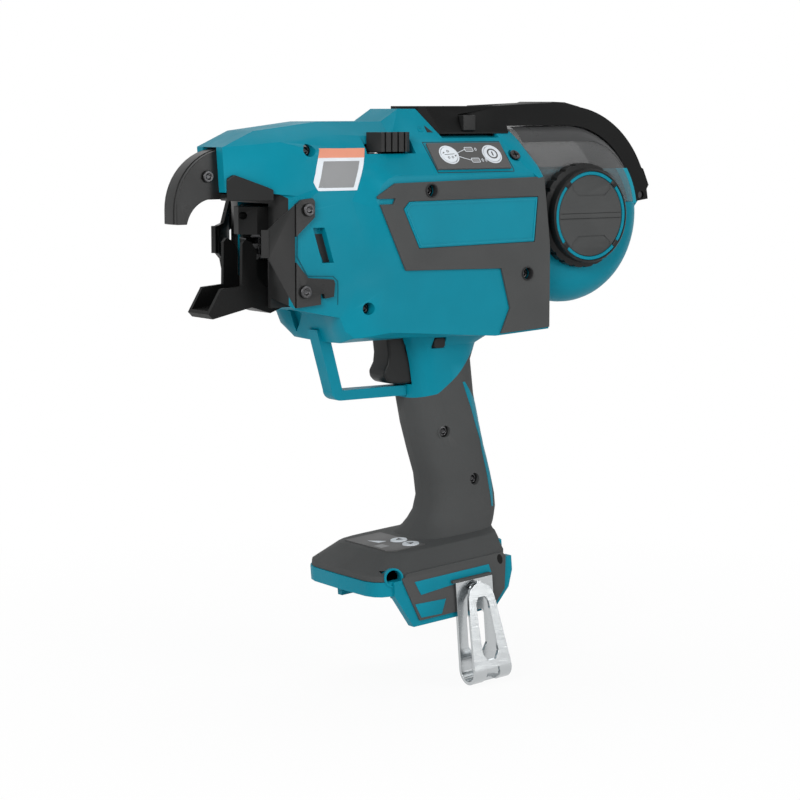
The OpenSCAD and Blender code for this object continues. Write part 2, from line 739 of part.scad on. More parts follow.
module arm_cheek_right() {
  color(black) arm_cheek(1);
}

// A socket-head screw along Y whose head sits at y0 on the left
module side_screw(at, y0, y1, r, hr, hh) {
  difference() {
    union() {
      rod(at, r, y0, y1);
      rod(at, hr, y0 - hh, y0);
    }
    rod(at, hr * 0.45, y0 - hh - 1, y0 - hh + 1.1);
  }
}

module arm_screw() {
  color(steel) in_body() side_screw(arm_screw_at, -arm_half_w, arm_half_w, screw_r, head_r, 1.8);
}

// Lower guide: scoop floor between two walls with uprights, swinging on a pin
module lower_guide() {
  m = -mouth_x;
  side_wall = [[m - 30, 12.5], [m - 32.5, 15], [m - 25, 27.5], [m - 12.8, 28.5], [m - 12.4, 50],
    [m - 10.6, 52],
    [m - 7, 50.5], [m - 4, 46], [m - 4, 33], [m + 4, 25], [m + 9, 28], [m + 15, 26], [m + 15, 18],
      [m + 4, 14],
    [m - 7, 17.5]];
  scoop = [[m - 30, 12.5], [m - 32.5, 15], [m - 31.6, 16.6], [m - 7, 20], [m + 4, 17], [m + 6, 14.6],
    [m + 4, 14],
    [m - 7, 17.5]];
  color(black) in_body() difference() {
    union() {
      for (y = [-guide_half_gap - guide_t, guide_half_gap]) slab(side_wall, y, y + guide_t);
      slab(scoop, -guide_half_gap - 0.5, guide_half_gap + 0.5);
    }
    rod(guide_c, guide_pin_r + run, -20, 20);
  }
}

module guide_pin() {
  color(steel) in_body() rod(guide_c, guide_pin_r, -mouth_half_w + fit, mouth_half_w - fit);
}

// Contact plate: two screwed tabs and a front leaf bent inwards, ending in a lip
plate_y = cheek_half_w + 0.8;
bend_x = -92;
module contact_plate(side) {
  top_tab = [[bend_x, 70], [-88.5, 72.4], [-82, 73], [-80.8, 71.5], [-80.8, 63.5], [bend_x, 54]];
  low_tab = [[bend_x, 41], [-85, 33], [-69.5, 31.6], [-68.8, 29.5], [-69.6, 22.8], [-75, 22.2], [-75.6,
    24.6],
    [-77.4, 24.6], [-77.4, 19.2], [bend_x, 18.1]];
  leaf = side < 0 ? [[0, 18.1], [0, 70], [-13.6, 57.6], [-13.6, 43]]
    : [[0, 18.1], [0, 70], [-7, 58.6], [-13.6, 57.6], [-13.6, 43], [-8.6, 40]];
  lip = [[-13, 43.4], [-13, 57.4], [-16.8, 57.4], [-16.8, 43.4]];
  in_body() scale_side(side) difference() {
    union() {
      slab(top_tab, -plate_y - plate_t, -plate_y);
      slab(low_tab, -plate_y - plate_t, -plate_y);
      translate([bend_x + 0.4, -plate_y, 0]) rotate([0, 0, -34]) slab(leaf, -plate_t, 0);
      translate([bend_x + 0.4, -plate_y, 0]) rotate([0, 0, -34]) slab(lip, -plate_t - 0.6, -0.2);
    }
    for (s = plate_screw_at) rod(s, screw_r + run, -60, 60);
  }
}

module contact_plate_left() {
  color(black) contact_plate(-1);
}

module contact_plate_right() {
  color(black) contact_plate(1);
}

module plate_screws() {
  color(steel) in_body() for (side = [-1, 1]) scale_side(side) for (s = plate_screw_at)
    side_screw(s, -plate_y - plate_t, -plate_y + 6, screw_r, head_r + 0.3, 1.8);
}

// Cast frame in the mouth: two side plates and two bearing walls
frame_y = mouth_half_w - fit;
frame_in = frame_y - 2.6;
module mech_frame() {
  m = -mouth_x;
  r = gear_x - 15;
  plate = [[m + 1.5, 17], [m + 19, 17], [m + 20.5, 22.5], [r - 17, 30], [r, 34], [r, 64], [r - 17, 68.5],
    [m + 1.5, 68.5]];
  color([0.5, 0.51, 0.53]) in_body() difference() {
    union() {
      for (y = [-frame_y, frame_in]) slab(plate, y, y + frame_y - frame_in);
      block([r - 21, -frame_in - 0.5, twist_z - 12], [r - 15, frame_in + 0.5, twist_z + 12]);
      block([r - 5, -frame_in - 0.5, twist_z - 12], [r, frame_in + 0.5, twist_z + 12]);
    }
    spindle(r - 25, r + 5, twist_z, sleeve_r + run);
    rod(guide_c, guide_pin_r + run, -20, 20);
    rod(cutter_c, cutter_r + run, -20, 20);
  }
}

module wire_nozzle() {
  plan = [[-mouth_x + 1.2, -14.4], [-mouth_x + 1.2, 6], [-mouth_x - 4, 6], [-mouth_x - 11, 0],
    [-mouth_x - 12, -6],
    [-mouth_x - 6, -14.4]];
  color(black) in_body() difference() {
    translate([0, 0, twist_z + 6.5]) linear_extrude(14) polygon(plan);
    translate([-mouth_x - 20, -8, twist_z + 16]) rotate([0, 90, 0]) cylinder(r = 2, h = 40);
  }
}

// Cutter shaft with the arm that the drive pushes
cutter_r = 3;
module cutter_shaft() {
  color(steel) in_body() union() {
    rod(cutter_c, cutter_r, -frame_y + fit, frame_y - fit);
    slab([[cutter_c[0], cutter_c[1] - 2.8], [cutter_c[0], cutter_c[1] + 2.8], [cutter_c[0] + 19,
      cutter_c[1] + 2],
      [cutter_c[0] + 19, cutter_c[1] - 2]], 2, 6);
  }
}

// Involute spur gear outline of n teeth, thinned by a backlash
function inv_angle(r, rb) = let (t = sqrt(max(0, r * r / rb / rb - 1))) t * 180 / PI - atan(t);
function gear_outline(n, m, slack) = let (rp = n * m / 2, rb = rp * cos(20), ra = rp + 0.9 * m,
  rf = rp - 1.2 * m,
    h = 90 / n - slack / rp * 90 / PI + inv_angle(rp, rb), low = max(rb, rf),
    flank = [for (k = [0 : 3]) low + (ra - low) * k / 3])
  [for (i = [0 : n - 1]) let (a = i * 360 / n) each concat(
      [rf * [cos(a - h), sin(a - h)]],
      [for (r = flank) let (d = h - inv_angle(r, rb)) r * [cos(a - d), sin(a - d)]],
      [for (k = [3 : -1 : 0]) let (r = flank[k], d = h - inv_angle(r, rb)) r * [cos(a + d), sin(a + d)]],
      [rf * [cos(a + h), sin(a + h)]])];

module along_x(x, z) {
  translate([x, 0, z]) rotate([0, 90, 0]) children();
}

// Twisting sleeve with two jaws at the front
module twist_sleeve() {
  color(steel) in_body() union() {
    spindle(-mouth_x + 2, gear_x + gear_w / 2 + 4, twist_z, sleeve_r);
    for (z = [1.2, -4.4]) block([-mouth_x - 6, -3, twist_z + z], [-mouth_x + 4, 3, twist_z + z + 3.2]);
  }
}

module twist_gear() {
  color([0.6, 0.6, 0.62]) in_body() difference() {
    along_x(gear_x - gear_w / 2, twist_z) linear_extrude(gear_w) polygon(gear_outline(gear_n, gear_m,
      0.16));
    spindle(gear_x - 20, gear_x + 20, twist_z, sleeve_r + run / 2);
  }
}

// Motor can on two feet, open inside for the rotor
motor_x = gear_x + gear_w / 2 + 8;
motor_shaft_r = 2.5;
module twist_motor() {
  color([0.3, 0.31, 0.33]) in_body() difference() {
    union() {
      spindle(motor_x, motor_x + motor_len, motor_z, motor_r);
      for (x = [motor_x + 3, motor_x + motor_len - 11]) block([x, -9, 4.2], [x + 8, 9, motor_z - 8]);
    }
    spindle(motor_x + 3, motor_x + motor_len - 3, motor_z, motor_r - 4);
    spindle(motor_x - 1, motor_x + motor_len + 1, motor_z, motor_shaft_r + run);
  }
}

module motor_rotor() {
  color(steel) in_body() union() {
    spindle(gear_x - gear_w / 2, motor_x + motor_len - 0.5, motor_z, motor_shaft_r);
    spindle(motor_x + 6, motor_x + motor_len - 6, motor_z, motor_r - 4.8);
    along_x(gear_x - gear_w / 2, motor_z) rotate([0, 0, mesh_turn]) linear_extrude(gear_w)
      polygon(gear_outline(pinion_n, gear_m, 0.16));
  }
}

// A gear tooth points straight down at the pinion when the gear has an even quarter, else a gap does
mesh_turn = (gear_n % 2 == 0 ? 180 / pinion_n : 0) + (pinion_n % 2 == 0 ? 0 : 180 / pinion_n);

// Feed unit: plate, motor and two wheels that pinch the wire
feed_pin_r = 2;
module feed_plate() {
  color([0.5, 0.51, 0.53]) in_body() difference() {
    block([feed_x - 16 + fit, -cheek_half_w + 5 + fit, feed_z], [feed_x + 26 - fit,
      cheek_half_w - 5 - fit, feed_z + 1.4]);
    translate([feed_x, feed_y, feed_z - 5]) cylinder(r = feed_pin_r + 0.6, h = 10);
    translate([lever_c[0], lever_c[1], feed_z - 5]) cylinder(r = feed_pin_r + run / 2, h = 10);
  }
}

module feed_motor() {
  color([0.3, 0.31, 0.33]) in_body() difference() {
    translate([feed_x, feed_y, feed_z - 16.5]) cylinder(r = feed_motor_r, h = 16.4);
    translate([feed_x, feed_y, feed_z - 14]) cylinder(r = feed_pin_r + run, h = 20);
  }
}

module drive_wheel() {
  color(steel) in_body() translate([feed_x, feed_y, 0]) {
    translate([0, 0, feed_z + 2.4]) cylinder(r = feed_r, h = 6.6);
    translate([0, 0, feed_z - 13.5]) cylinder(r = feed_pin_r, h = 20);
  }
}

module idle_wheel() {
  color(steel) in_body() difference() {
    translate([feed_x, -feed_y, feed_z + 2.4]) cylinder(r = feed_r, h = 6.6);
    translate([feed_x, -feed_y, feed_z]) cylinder(r = feed_pin_r + run, h = 20);
  }
}

// Release lever: ribbed handle outside, arm and idle-wheel stub inside
module release_lever() {
  z0 = feed_z + 9.6;
  plan = [[feed_x - 3.5, -feed_y + 3], [feed_x + 3, -feed_y + 3.5], [lever_c[0] + 3, lever_c[1] + 3.4],
    [lever_c[0] + 3, lever_c[1] - 4], [feed_x + 6, -17], [feed_x + 6, -shoulder_half_w - 1],
    [feed_x - 8, -shoulder_half_w - 1], [feed_x - 8, -17]];
  grip_plan = [[feed_x - 12, -shoulder_half_w - 0.6], [feed_x + 11, -shoulder_half_w - 0.6],
    [feed_x + 11, -shoulder_half_w - 6.5], [feed_x + 8, -shoulder_half_w - 8.5], [feed_x - 8,
      -shoulder_half_w - 8.5]];
  color(black) in_body() difference() {
    union() {
      translate([0, 0, z0]) linear_extrude(2.4) polygon(plan);
      translate([0, 0, z0]) linear_extrude(10) polygon(grip_plan);
      translate([feed_x, -feed_y, feed_z + 2.2]) cylinder(r = feed_pin_r, h = 8);
      translate([lever_c[0], lever_c[1], feed_z + 2]) cylinder(r = feed_pin_r + 2.2, h = 10);
    }
    translate([lever_c[0], lever_c[1], feed_z - 1]) cylinder(r = feed_pin_r + run, h = 20);
    for (i = [0 : 3]) block([feed_x - 6 + 4 * i, -shoulder_half_w - 12, z0 - 1],
      [feed_x - 5 + 4 * i, -shoulder_half_w - 7.6, z0 + 12]);
  }
}

module lever_pin() {
  color(steel) in_body() translate([lever_c[0], lever_c[1], feed_z]) cylinder(r = feed_pin_r, h = 12);
}

// Reel case and lid share one drum section: half width, radius and edge rounding
function drum_section(inset) = let (w = case_half_w - inset, r = case_r - inset,
  c = max(case_round - inset, 1))
  concat([[0, -w]], arc([r - c, -w + c], c, -90, 0, 8), arc([r - c, w - c], c, 0, 90, 8), [[0, w]]);

module drum(inset) {
  translate([reel_x, 0, reel_z]) rotate([-90, 0, 0]) rotate_extrude($fn = 96) polygon(drum_section(inset));
}

module above(z) {
  block([-300, -100, z], [400, 100, z + 300]);
}

module below(z) {
  block([-300, -100, z - 300], [400, 100, z]);
}

case_rear = reel_x + case_r;
lug = [[case_rear - 5, seam_h - 9], [case_rear, seam_h - 9], [lid_c[0] + 2.7, lid_c[1] - 2.6],
  [lid_c[0] + 2.7, lid_c[1] + 2.5], [lid_c[0], lid_c[1] + 4],
  [lid_c[0] - 3.2, lid_c[1] + 2], [lid_c[0] - 3.2, seam_h - 1], [case_rear - 5, seam_h - 1]];
lug_y = [spine_half_w - 9, spine_half_w - 5];
hub_r = 14;
lip_t = 1.6;
spigot_r = 5;
plunger_r = 6;

module reel_case() {
  color(teal) in_body() difference() {
    union() {
      difference() {
        drum(0);
        drum(case_t);
        above(seam_h - fit);
      }
      difference() {
        drum(case_t);
        drum(case_t + lip_t);
        above(seam_h + 16);
        below(seam_h - 8);
        block([0, -60, seam_h - fit], [reel_x - case_r + 21, 60, 200]);
      }
      difference() {
        union() for (s = [-1, 1]) scale_side(s) slab(lug, lug_y[0], lug_y[1]);
        drum(case_t / 2);
      }
      rod([reel_x, reel_z], spigot_r, 9, case_half_w - case_t / 2);
    }
    rod(lid_c, lid_pin_r + run, -20, 20);
    rod([reel_x, reel_z], plunger_r + run, -60, 0);
  }
}

// Front limit of the lid, parallel to the housing's sloped rear top
module lid_front_cut() {
  slab([[-50, seam_h - 60], [rear_x + 2.5, seam_h - 60], [rear_x + 2.5, side_h - 3.5], [rear_x - 1.5,
    side_h - 0.5], [53, deck_h + 2], [53, 200],
    [-50, 200]], -100, 100);
}

// Smoked shell: the drum's upper part carried forward to the housing
module lid_shell(inset) {
  drum(inset);
  translate([reel_x, 0, reel_z]) rotate([0, -90, 0]) linear_extrude(60) polygon(drum_section(inset));
}

module reel_lid() {
  color(smoke) in_body() difference() {
    lid_shell(0);
    lid_shell(lid_t);
    below(seam_h);
    lid_front_cut();
    block([reel_x + case_r - 3, lug_y[0] - gap, 0], [300, lug_y[1] + gap, lid_c[1] + 5]);
    block([reel_x + case_r - 3, -lug_y[1] - gap, 0], [300, -lug_y[0] + gap, lid_c[1] + 5]);
  }
}

lid_pin_r = 2;
spine_r = case_r + spine_rise;
spine_start = asin(seam_rise / (case_r + 5));
module spine_ring() {
  translate([reel_x, 0, reel_z]) rotate([90, 0, 0]) translate([0, 0, -spine_half_w])
    rotate_extrude(angle = 90 - spine_start, start = spine_start, $fn = 96) translate([case_r + fit,
      0]) square([spine_rise - fit, 2 * spine_half_w]);
}

// Black spine of the lid: curved rear, straight top and a wider front over the deck
module lid_spine() {
  top = reel_z + spine_r;
  crown = [[50, top - 9], [50, top + 0.3], [reel_x - 12, top + 1.7], [reel_x - 10, top + 2.3],
    [reel_x - 2, top + 2], [reel_x + 8, top - 0.3], [reel_x + 14, top - 2.6], [reel_x + 8, top - 9]];
  tail = [[case_rear + 2, seam_h + 21], [case_rear + 8.5, seam_h + 17.5], [case_rear + 12.6, seam_h + 8.5],
    [case_rear + 10.5, seam_h + 5], [case_rear + 3, seam_h + 7]];
  front = [[-spine_half_w, top], [spine_half_w, top], [shoulder_half_w - 1.5, deck_h + 1.4],
    [shoulder_half_w - 1.5, deck_h + fit],
    [-shoulder_half_w + 1.5, deck_h + fit], [-shoulder_half_w + 1.5, deck_h + 1.4]];
  plan = [[-2.4, -nose_half_w], [-2.4, nose_half_w], [8.6, shoulder_half_w], [52, shoulder_half_w],
    [52, -shoulder_half_w], [8.6, -shoulder_half_w]];
  color(black) in_body() difference() {
    union() {
      spine_ring();
      block([50, -spine_half_w, reel_z + case_r + fit], [reel_x, spine_half_w, top]);
      slab(crown, -spine_half_w, spine_half_w);
      slab(tail, -spine_half_w + 2, spine_half_w - 2);
      intersection() {
        translate([-20, 0, 0]) rotate([90, 0, 90]) linear_extrude(71.5) polygon(front);
        linear_extrude(300) polygon(plan);
      }
    }
    rod(lid_c, lid_pin_r + run, -40, 40);
    for (s = [-1, 1]) scale_side(s) rod(lid_c, 7.5, lug_y[0] - gap, lug_y[1] + gap);
    for (s = [-1, 1]) scale_side(s) block([lid_c[0] - 8, lug_y[0] - gap, 0], [300, lug_y[1] + gap,
      lid_c[1]]);
    block([latch_x[0] - fit, -60, deck_h + 1.6], [latch_x[1] + fit, -spine_half_w + 1.5, deck_h + 10.4]);
  }
}

module lid_pin() {
  color(steel) in_body() rod(lid_c, lid_pin_r, -spine_half_w + 1, spine_half_w - 1);
}

latch_x = [21, 29];
module lid_latch() {
  color(black) in_body() slab([[latch_x[0], deck_h + 1.9], [latch_x[1], deck_h + 1.9], [latch_x[1],
    deck_h + 10.1],
    [latch_x[0], deck_h + 10.1]], -shoulder_half_w + 0.4, -spine_half_w - 1);
}

// Knob on the case's left face, with the plunger that holds the reel
module turned(points) {
  translate([reel_x, 0, reel_z]) rotate([90, 0, 0]) rotate_extrude($fn = 96) polygon(points);
}

module reel_plunger() {
  color(steel) in_body() union() {
    rod([reel_x, reel_z], plunger_r, knob_y - 2.8, knob_y + 15);
    rod([reel_x, reel_z], plunger_r + 3, knob_y + 12.6, knob_y + 15);
  }
}

knob_back = -knob_y + 0.6;
knob_front = -knob_y + knob_h;
band_r = [knob_face_r + fit, knob_face_r + 2];
module knob_ring() {
  color(black) in_body() difference() {
    turned([[plunger_r + run, knob_back], [knob_r, knob_back], [knob_r, knob_back + 5], [knob_r - 2.8,
      knob_back + 6],
      [knob_r - 3, knob_front - 0.8], [knob_r - 3.6, knob_front - 0.3], [band_r[1] + fit, knob_front - 0.3],
      [band_r[1] + fit, knob_back + 2.4], [plunger_r + run, knob_back + 2.4]]);
    for (i = [0 : 23]) translate([reel_x, 0, reel_z]) rotate([0, i * 15, 0]) rod([knob_r + 0.6, 0], 1.4,
      -knob_back - 6, -knob_back + 1);
  }
}

module knob_band() {
  color(teal) in_body() turned([[band_r[0], knob_back + 2.5], [band_r[1], knob_back + 2.5], [band_r[1],
    knob_front - 0.4],
    [band_r[0], knob_front - 0.4]]);
}

module knob_face() {
  color(dark) in_body() turned([[0, knob_back + 2.5], [knob_face_r, knob_back + 2.5], [knob_face_r,
    knob_front - 0.9],
    [knob_face_r - 1, knob_front], [0, knob_front]]);
}

module reel_hub() {
  color(dark) in_body() difference() {
    rod([reel_x, reel_z], hub_r, 8, case_half_w - case_t - lip_t - gap);
    rod([reel_x, reel_z], spigot_r + run, 0, 40);
  }
}

// Trigger, switch and lock button
module trigger() {
  side = [[-18.6, -2.4], [-18, -7], [-17.4, -12], [-18, -17], [-20.6, -21.5], [-20, -25], [-17, -27.8],
    [-9, -28.4], [1, -28.4], [1, -12], [-6, -11.5], [-6, -2.4]];
  color(dark) in_body() slab(side, -trigger_half_w, trigger_half_w);
}

module switch_unit() {
  color(black) in_body() union() {
    block([11.6, -room_half_w + fit, -27], [25, room_half_w - fit, -12]);
    block([9.6, -4, -22], [12, 4, -16]);
  }
}

lock_x = [3.4, 10.6];
lock_z = [-9, -3.4];
module lock_button() {
  lock_outline = [[lock_x[0], lock_z[0] + 1], [lock_x[0] + 1, lock_z[0]], [lock_x[1] - 1, lock_z[0]],
    [lock_x[1], lock_z[0] + 1], [lock_x[1], lock_z[1] - 1], [lock_x[1] - 1, lock_z[1]],
    [lock_x[0] + 1, lock_z[1]], [lock_x[0], lock_z[1] - 1]];
  color(dark) in_body() slab(lock_outline, -grip_half_w - 3.4, grip_half_w - 0.4);
}

// Window in one leaf of the belt hook, from z0 down to z1, half widths w0 and w1
function hook_window(w0, w1, z0, z1) = [[hook_x - w0, z0 - 3], [hook_x - w0 + 2, z0], [hook_x + w0 - 2, z0],
  [hook_x + w0, z0 - 3], [hook_x + w1, z1 + 4], [hook_x + w1 - 2.5, z1], [hook_x - w1 + 2.5, z1],
  [hook_x - w1, z1 + 4]];

// Half outline of the outer leaf, from its tip down, as half width and drop
leaf_side = [[1.2, 1.3], [3.4, 2.2], [6.4, 4.2], [8.2, 8.5], [9, 14]];
module belt_hook() {
  y = -foot_half_w - 1 - fit;
  y_gap = y - hook_t - 0.3;
  bend_r = hook_spread / 2;
  edge = hook_w / 2 + 2;
  c = [y - hook_t - bend_r, -hook_len + bend_r + hook_t];
  turn = -180 - hook_lean;
  rise = (hook_top - 1.5 - c[1]) * [tan(hook_lean), 1];
  back = [-cos(hook_lean), sin(hook_lean)];
  outer = concat([[y, hook_top], [y, c[1]]], arc(c, bend_r + hook_t, 0, turn, 18),
    [c + (bend_r + hook_t) * back + rise]);
  inner = concat([c + bend_r * back + rise], arc(c, bend_r, turn, 0, 18), [[y - hook_t, hook_top]]);
  color(steel) in_foot() difference() {
    translate([hook_x - hook_w / 2, 0, 0]) rotate([90, 0,
      90]) linear_extrude(hook_w) polygon(concat(outer, inner));
    slab(hook_window(6.2, 6.2, hook_z - 11.5, -hook_len + 15), y_gap, -foot_half_w);
    slab(hook_window(4.2, 5.2, hook_z - 3.2, -hook_len + 12.8), c[0] - 30, y_gap);
    slab([[hook_x - 6, -hook_len - 5], [hook_x - 4, -hook_len + 8.4], [hook_x + 4, -hook_len + 8.4],
      [hook_x + 6, -hook_len - 5]], c[0] - 30, c[0]);
    for (s = [-1, 1]) slab(concat([[hook_x + s * edge, hook_top + 9], [hook_x + s * 0.8, hook_top + 9]],
      [for (q = leaf_side) [hook_x + s * q[0], hook_top - q[1]]],
      [[hook_x + s * (hook_w / 2 + 0.1), hook_top - 46], [hook_x + s * edge, hook_top - 46]]),
      c[0] - 30, y_gap);
    rod([hook_x, hook_z], screw_r + run, y_gap, 0);
  }
}

module hook_screw() {
  color(steel) in_foot() side_screw([hook_x, hook_z], -foot_half_w - 1 - fit - hook_t,
    -foot_half_w + skirt_t - fit, screw_r, head_r, 1.8);
}

// Threaded inserts in both skirts, the right one free
module hook_insert() {
  color([0.75, 0.6, 0.3]) in_foot() for (s = [-1, 1]) scale_side(s) difference() {
    rod([hook_x, hook_z], insert_r, -foot_half_w, -foot_half_w + skirt_t - fit);
    rod([hook_x, hook_z], screw_r + run, -foot_half_w - 1, -foot_half_w + skirt_t + 1);
  }
}

module housing_screws() {
  color(steel) {
    in_body() for (b = boss_at) side_screw(b, -boss_reach(b) + 3, 12, screw_r, head_r, 2.2);
    for (b = grip_boss_at) side_screw(b, -grip_half_w + 4, 10, screw_r, head_r, 2.2);
    in_body() on_slope(49) translate([0, 0, -8]) {
      cylinder(r = screw_r, h = 8);
      translate([0, 0, 7.2]) cylinder(r = head_r, h = 1.8);
    }
  }
}

housing_left();
housing_right();
grip_left();
grip_right();
foot_rim_left();
foot_rim_right();
side_trim_left();
side_trim_right();
badge_left();
badge_right();
nose_cover();
curl_arm();
arm_cheek_left();
arm_cheek_right();
arm_screw();
lower_guide();
guide_pin();
contact_plate_left();
contact_plate_right();
plate_screws();
mech_frame();
wire_nozzle();
cutter_shaft();
twist_sleeve();
twist_gear();
twist_motor();
motor_rotor();
feed_plate();
feed_motor();
drive_wheel();
idle_wheel();
release_lever();
lever_pin();
reel_case();
reel_lid();
lid_spine();
lid_pin();
lid_latch();
reel_plunger();
knob_ring();
knob_band();
knob_face();
reel_hub();
trigger();
switch_unit();
lock_button();
top_panel();
mode_key();
power_key();
foot_panel();
down_key();
up_key();
control_board();
terminal_block();
belt_hook();
hook_screw();
hook_insert();
housing_screws();
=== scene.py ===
import bpy
import json
import math
from mathutils import Matrix, Vector


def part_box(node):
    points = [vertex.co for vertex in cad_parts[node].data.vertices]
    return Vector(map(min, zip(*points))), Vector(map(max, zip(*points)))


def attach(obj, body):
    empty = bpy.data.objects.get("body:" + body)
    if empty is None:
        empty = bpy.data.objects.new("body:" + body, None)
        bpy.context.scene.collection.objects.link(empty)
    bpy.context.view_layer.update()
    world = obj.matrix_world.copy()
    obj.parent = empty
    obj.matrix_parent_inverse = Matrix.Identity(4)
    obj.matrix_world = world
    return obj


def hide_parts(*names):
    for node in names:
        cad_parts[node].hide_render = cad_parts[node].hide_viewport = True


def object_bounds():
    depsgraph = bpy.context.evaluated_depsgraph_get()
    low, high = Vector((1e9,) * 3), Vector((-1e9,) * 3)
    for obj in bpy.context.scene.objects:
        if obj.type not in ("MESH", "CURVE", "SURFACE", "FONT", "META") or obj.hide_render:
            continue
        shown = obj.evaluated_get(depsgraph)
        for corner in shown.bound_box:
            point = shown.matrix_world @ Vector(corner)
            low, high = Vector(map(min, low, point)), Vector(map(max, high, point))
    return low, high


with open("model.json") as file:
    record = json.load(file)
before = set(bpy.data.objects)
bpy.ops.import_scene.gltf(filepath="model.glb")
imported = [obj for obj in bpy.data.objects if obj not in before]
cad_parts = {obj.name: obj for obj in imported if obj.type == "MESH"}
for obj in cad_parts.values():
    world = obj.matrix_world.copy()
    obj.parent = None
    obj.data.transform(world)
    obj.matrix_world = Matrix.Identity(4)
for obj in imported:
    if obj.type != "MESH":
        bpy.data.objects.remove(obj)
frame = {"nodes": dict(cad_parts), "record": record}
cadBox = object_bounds()
scene = bpy.context.scene
scene.view_settings.view_transform = "Standard"
mm = 0.001
footTilt = 4.5  # the foot leans forward by this many degrees
bevelFrom = math.radians(40)  # small pieces are rounded at edges sharper than this
smoothTo = 38  # dressed solids are shaded smooth up to this many degrees
weldGap = 0.00001  # vertices nearer than this are one, in m
flatWithin = math.radians(0.6)  # faces this near to one plane are joined
filmStart = 0.06  # films start this far out at the side, in m


def clearSelection():
    for obj in bpy.context.selected_objects:
        obj.select_set(False)


def makeActive(obj):
    clearSelection()
    obj.select_set(True)
    bpy.context.view_layer.objects.active = obj


def applyModifier(obj, kind, **settings):
    makeActive(obj)
    mod = obj.modifiers.new(kind.lower(), kind)
    for key, value in settings.items():
        setattr(mod, key, value)
    bpy.ops.object.modifier_apply(modifier=mod.name)


def smoothByAngle(obj, degrees=35):
    makeActive(obj)
    bpy.ops.object.shade_smooth_by_angle(angle=math.radians(degrees))


def paint(obj, material):
    obj.data.materials.clear()
    obj.data.materials.append(material)


# camera as the photograph was taken: a long lens from the front left, a little above
cameraView = {"place": (-0.73924, -1.0486, 0.25445), "target": (-0.005, 0.0, 0.095), "lens": 108.0}


def placeCamera(view):
    clearSelection()
    bpy.ops.object.camera_add(location=view["place"])
    cam = bpy.context.object
    cam.name = "viewCamera"
    cam.data.lens = view["lens"]
    cam.data.sensor_width = 36.0
    cam.data.clip_start = 0.01
    aim = Vector(view["target"]) - Vector(view["place"])
    cam.rotation_euler = aim.to_track_quat("-Z", "Y").to_euler()
    scene.camera = cam


placeCamera(cameraView)
print("camera placed")

# materials
tealFinish = {"color": (0.0, 0.19, 0.265), "rough": 0.42, "shine": 0.1,
              "grain": 2400, "bump": 0.05, "wear": 0.2}
gripFinish = {"color": (0.058, 0.06, 0.06), "rough": 0.7, "shine": 0.16,
              "grain": 1500, "bump": 0.22, "wear": 0.12}
blackFinish = {"color": (0.011, 0.0115, 0.0115), "rough": 0.34, "shine": 0.15,
               "grain": 2600, "bump": 0.05, "wear": 0.3}
dullFinish = {"color": (0.004, 0.0042, 0.0042), "rough": 0.42, "shine": 0.09,
              "grain": 1300, "bump": 0.06, "wear": 0.2}
ironFinish = {"color": (0.0095, 0.01, 0.01), "rough": 0.32, "shine": 0.22,
              "grain": 1300, "bump": 0.06, "wear": 0.4}
filmFinish = {"shine": 0.12, "grain": 2200, "bump": 0.04, "wear": 0.0}
clouding = {"scale": 28.0, "from": 0.3, "to": 0.7, "dark": 0.93, "light": 1.06}
# colours turn lighter on sharp convex edges; this is the pointiness range over which it comes in
edgeRange = {"from": 0.53, "to": 0.62}


def startMaterial(name):
    mat = bpy.data.materials.new(name)
    mat.use_nodes = True
    nodes = mat.node_tree.nodes
    return mat, nodes, mat.node_tree.links, nodes["Principled BSDF"]


def addNode(nodes, kind, **settings):
    node = nodes.new(kind)
    for key, value in settings.items():
        if key in node.inputs:
            node.inputs[key].default_value = value
        else:
            setattr(node, key, value)
    return node


def noiseAt(nodes, links, scale, detail=3.0, stretch=None):
    place = addNode(nodes, "ShaderNodeTexCoord")
    noise = addNode(nodes, "ShaderNodeTexNoise", Scale=scale, Detail=detail)
    if stretch:
        mapping = addNode(nodes, "ShaderNodeMapping", Scale=stretch)
        links.new(place.outputs["Object"], mapping.inputs["Vector"])
        links.new(mapping.outputs["Vector"], noise.inputs["Vector"])
    else:
        links.new(place.outputs["Object"], noise.inputs["Vector"])
    return noise


def spread(nodes, links, source, low, high):
    ranged = addNode(nodes, "ShaderNodeMapRange")
    ranged.inputs["From Min"].default_value = clouding["from"]
    ranged.inputs["From Max"].default_value = clouding["to"]
    ranged.inputs["To Min"].default_value = low
    ranged.inputs["To Max"].default_value = high
    links.new(source, ranged.inputs["Value"])
    return ranged.outputs["Result"]


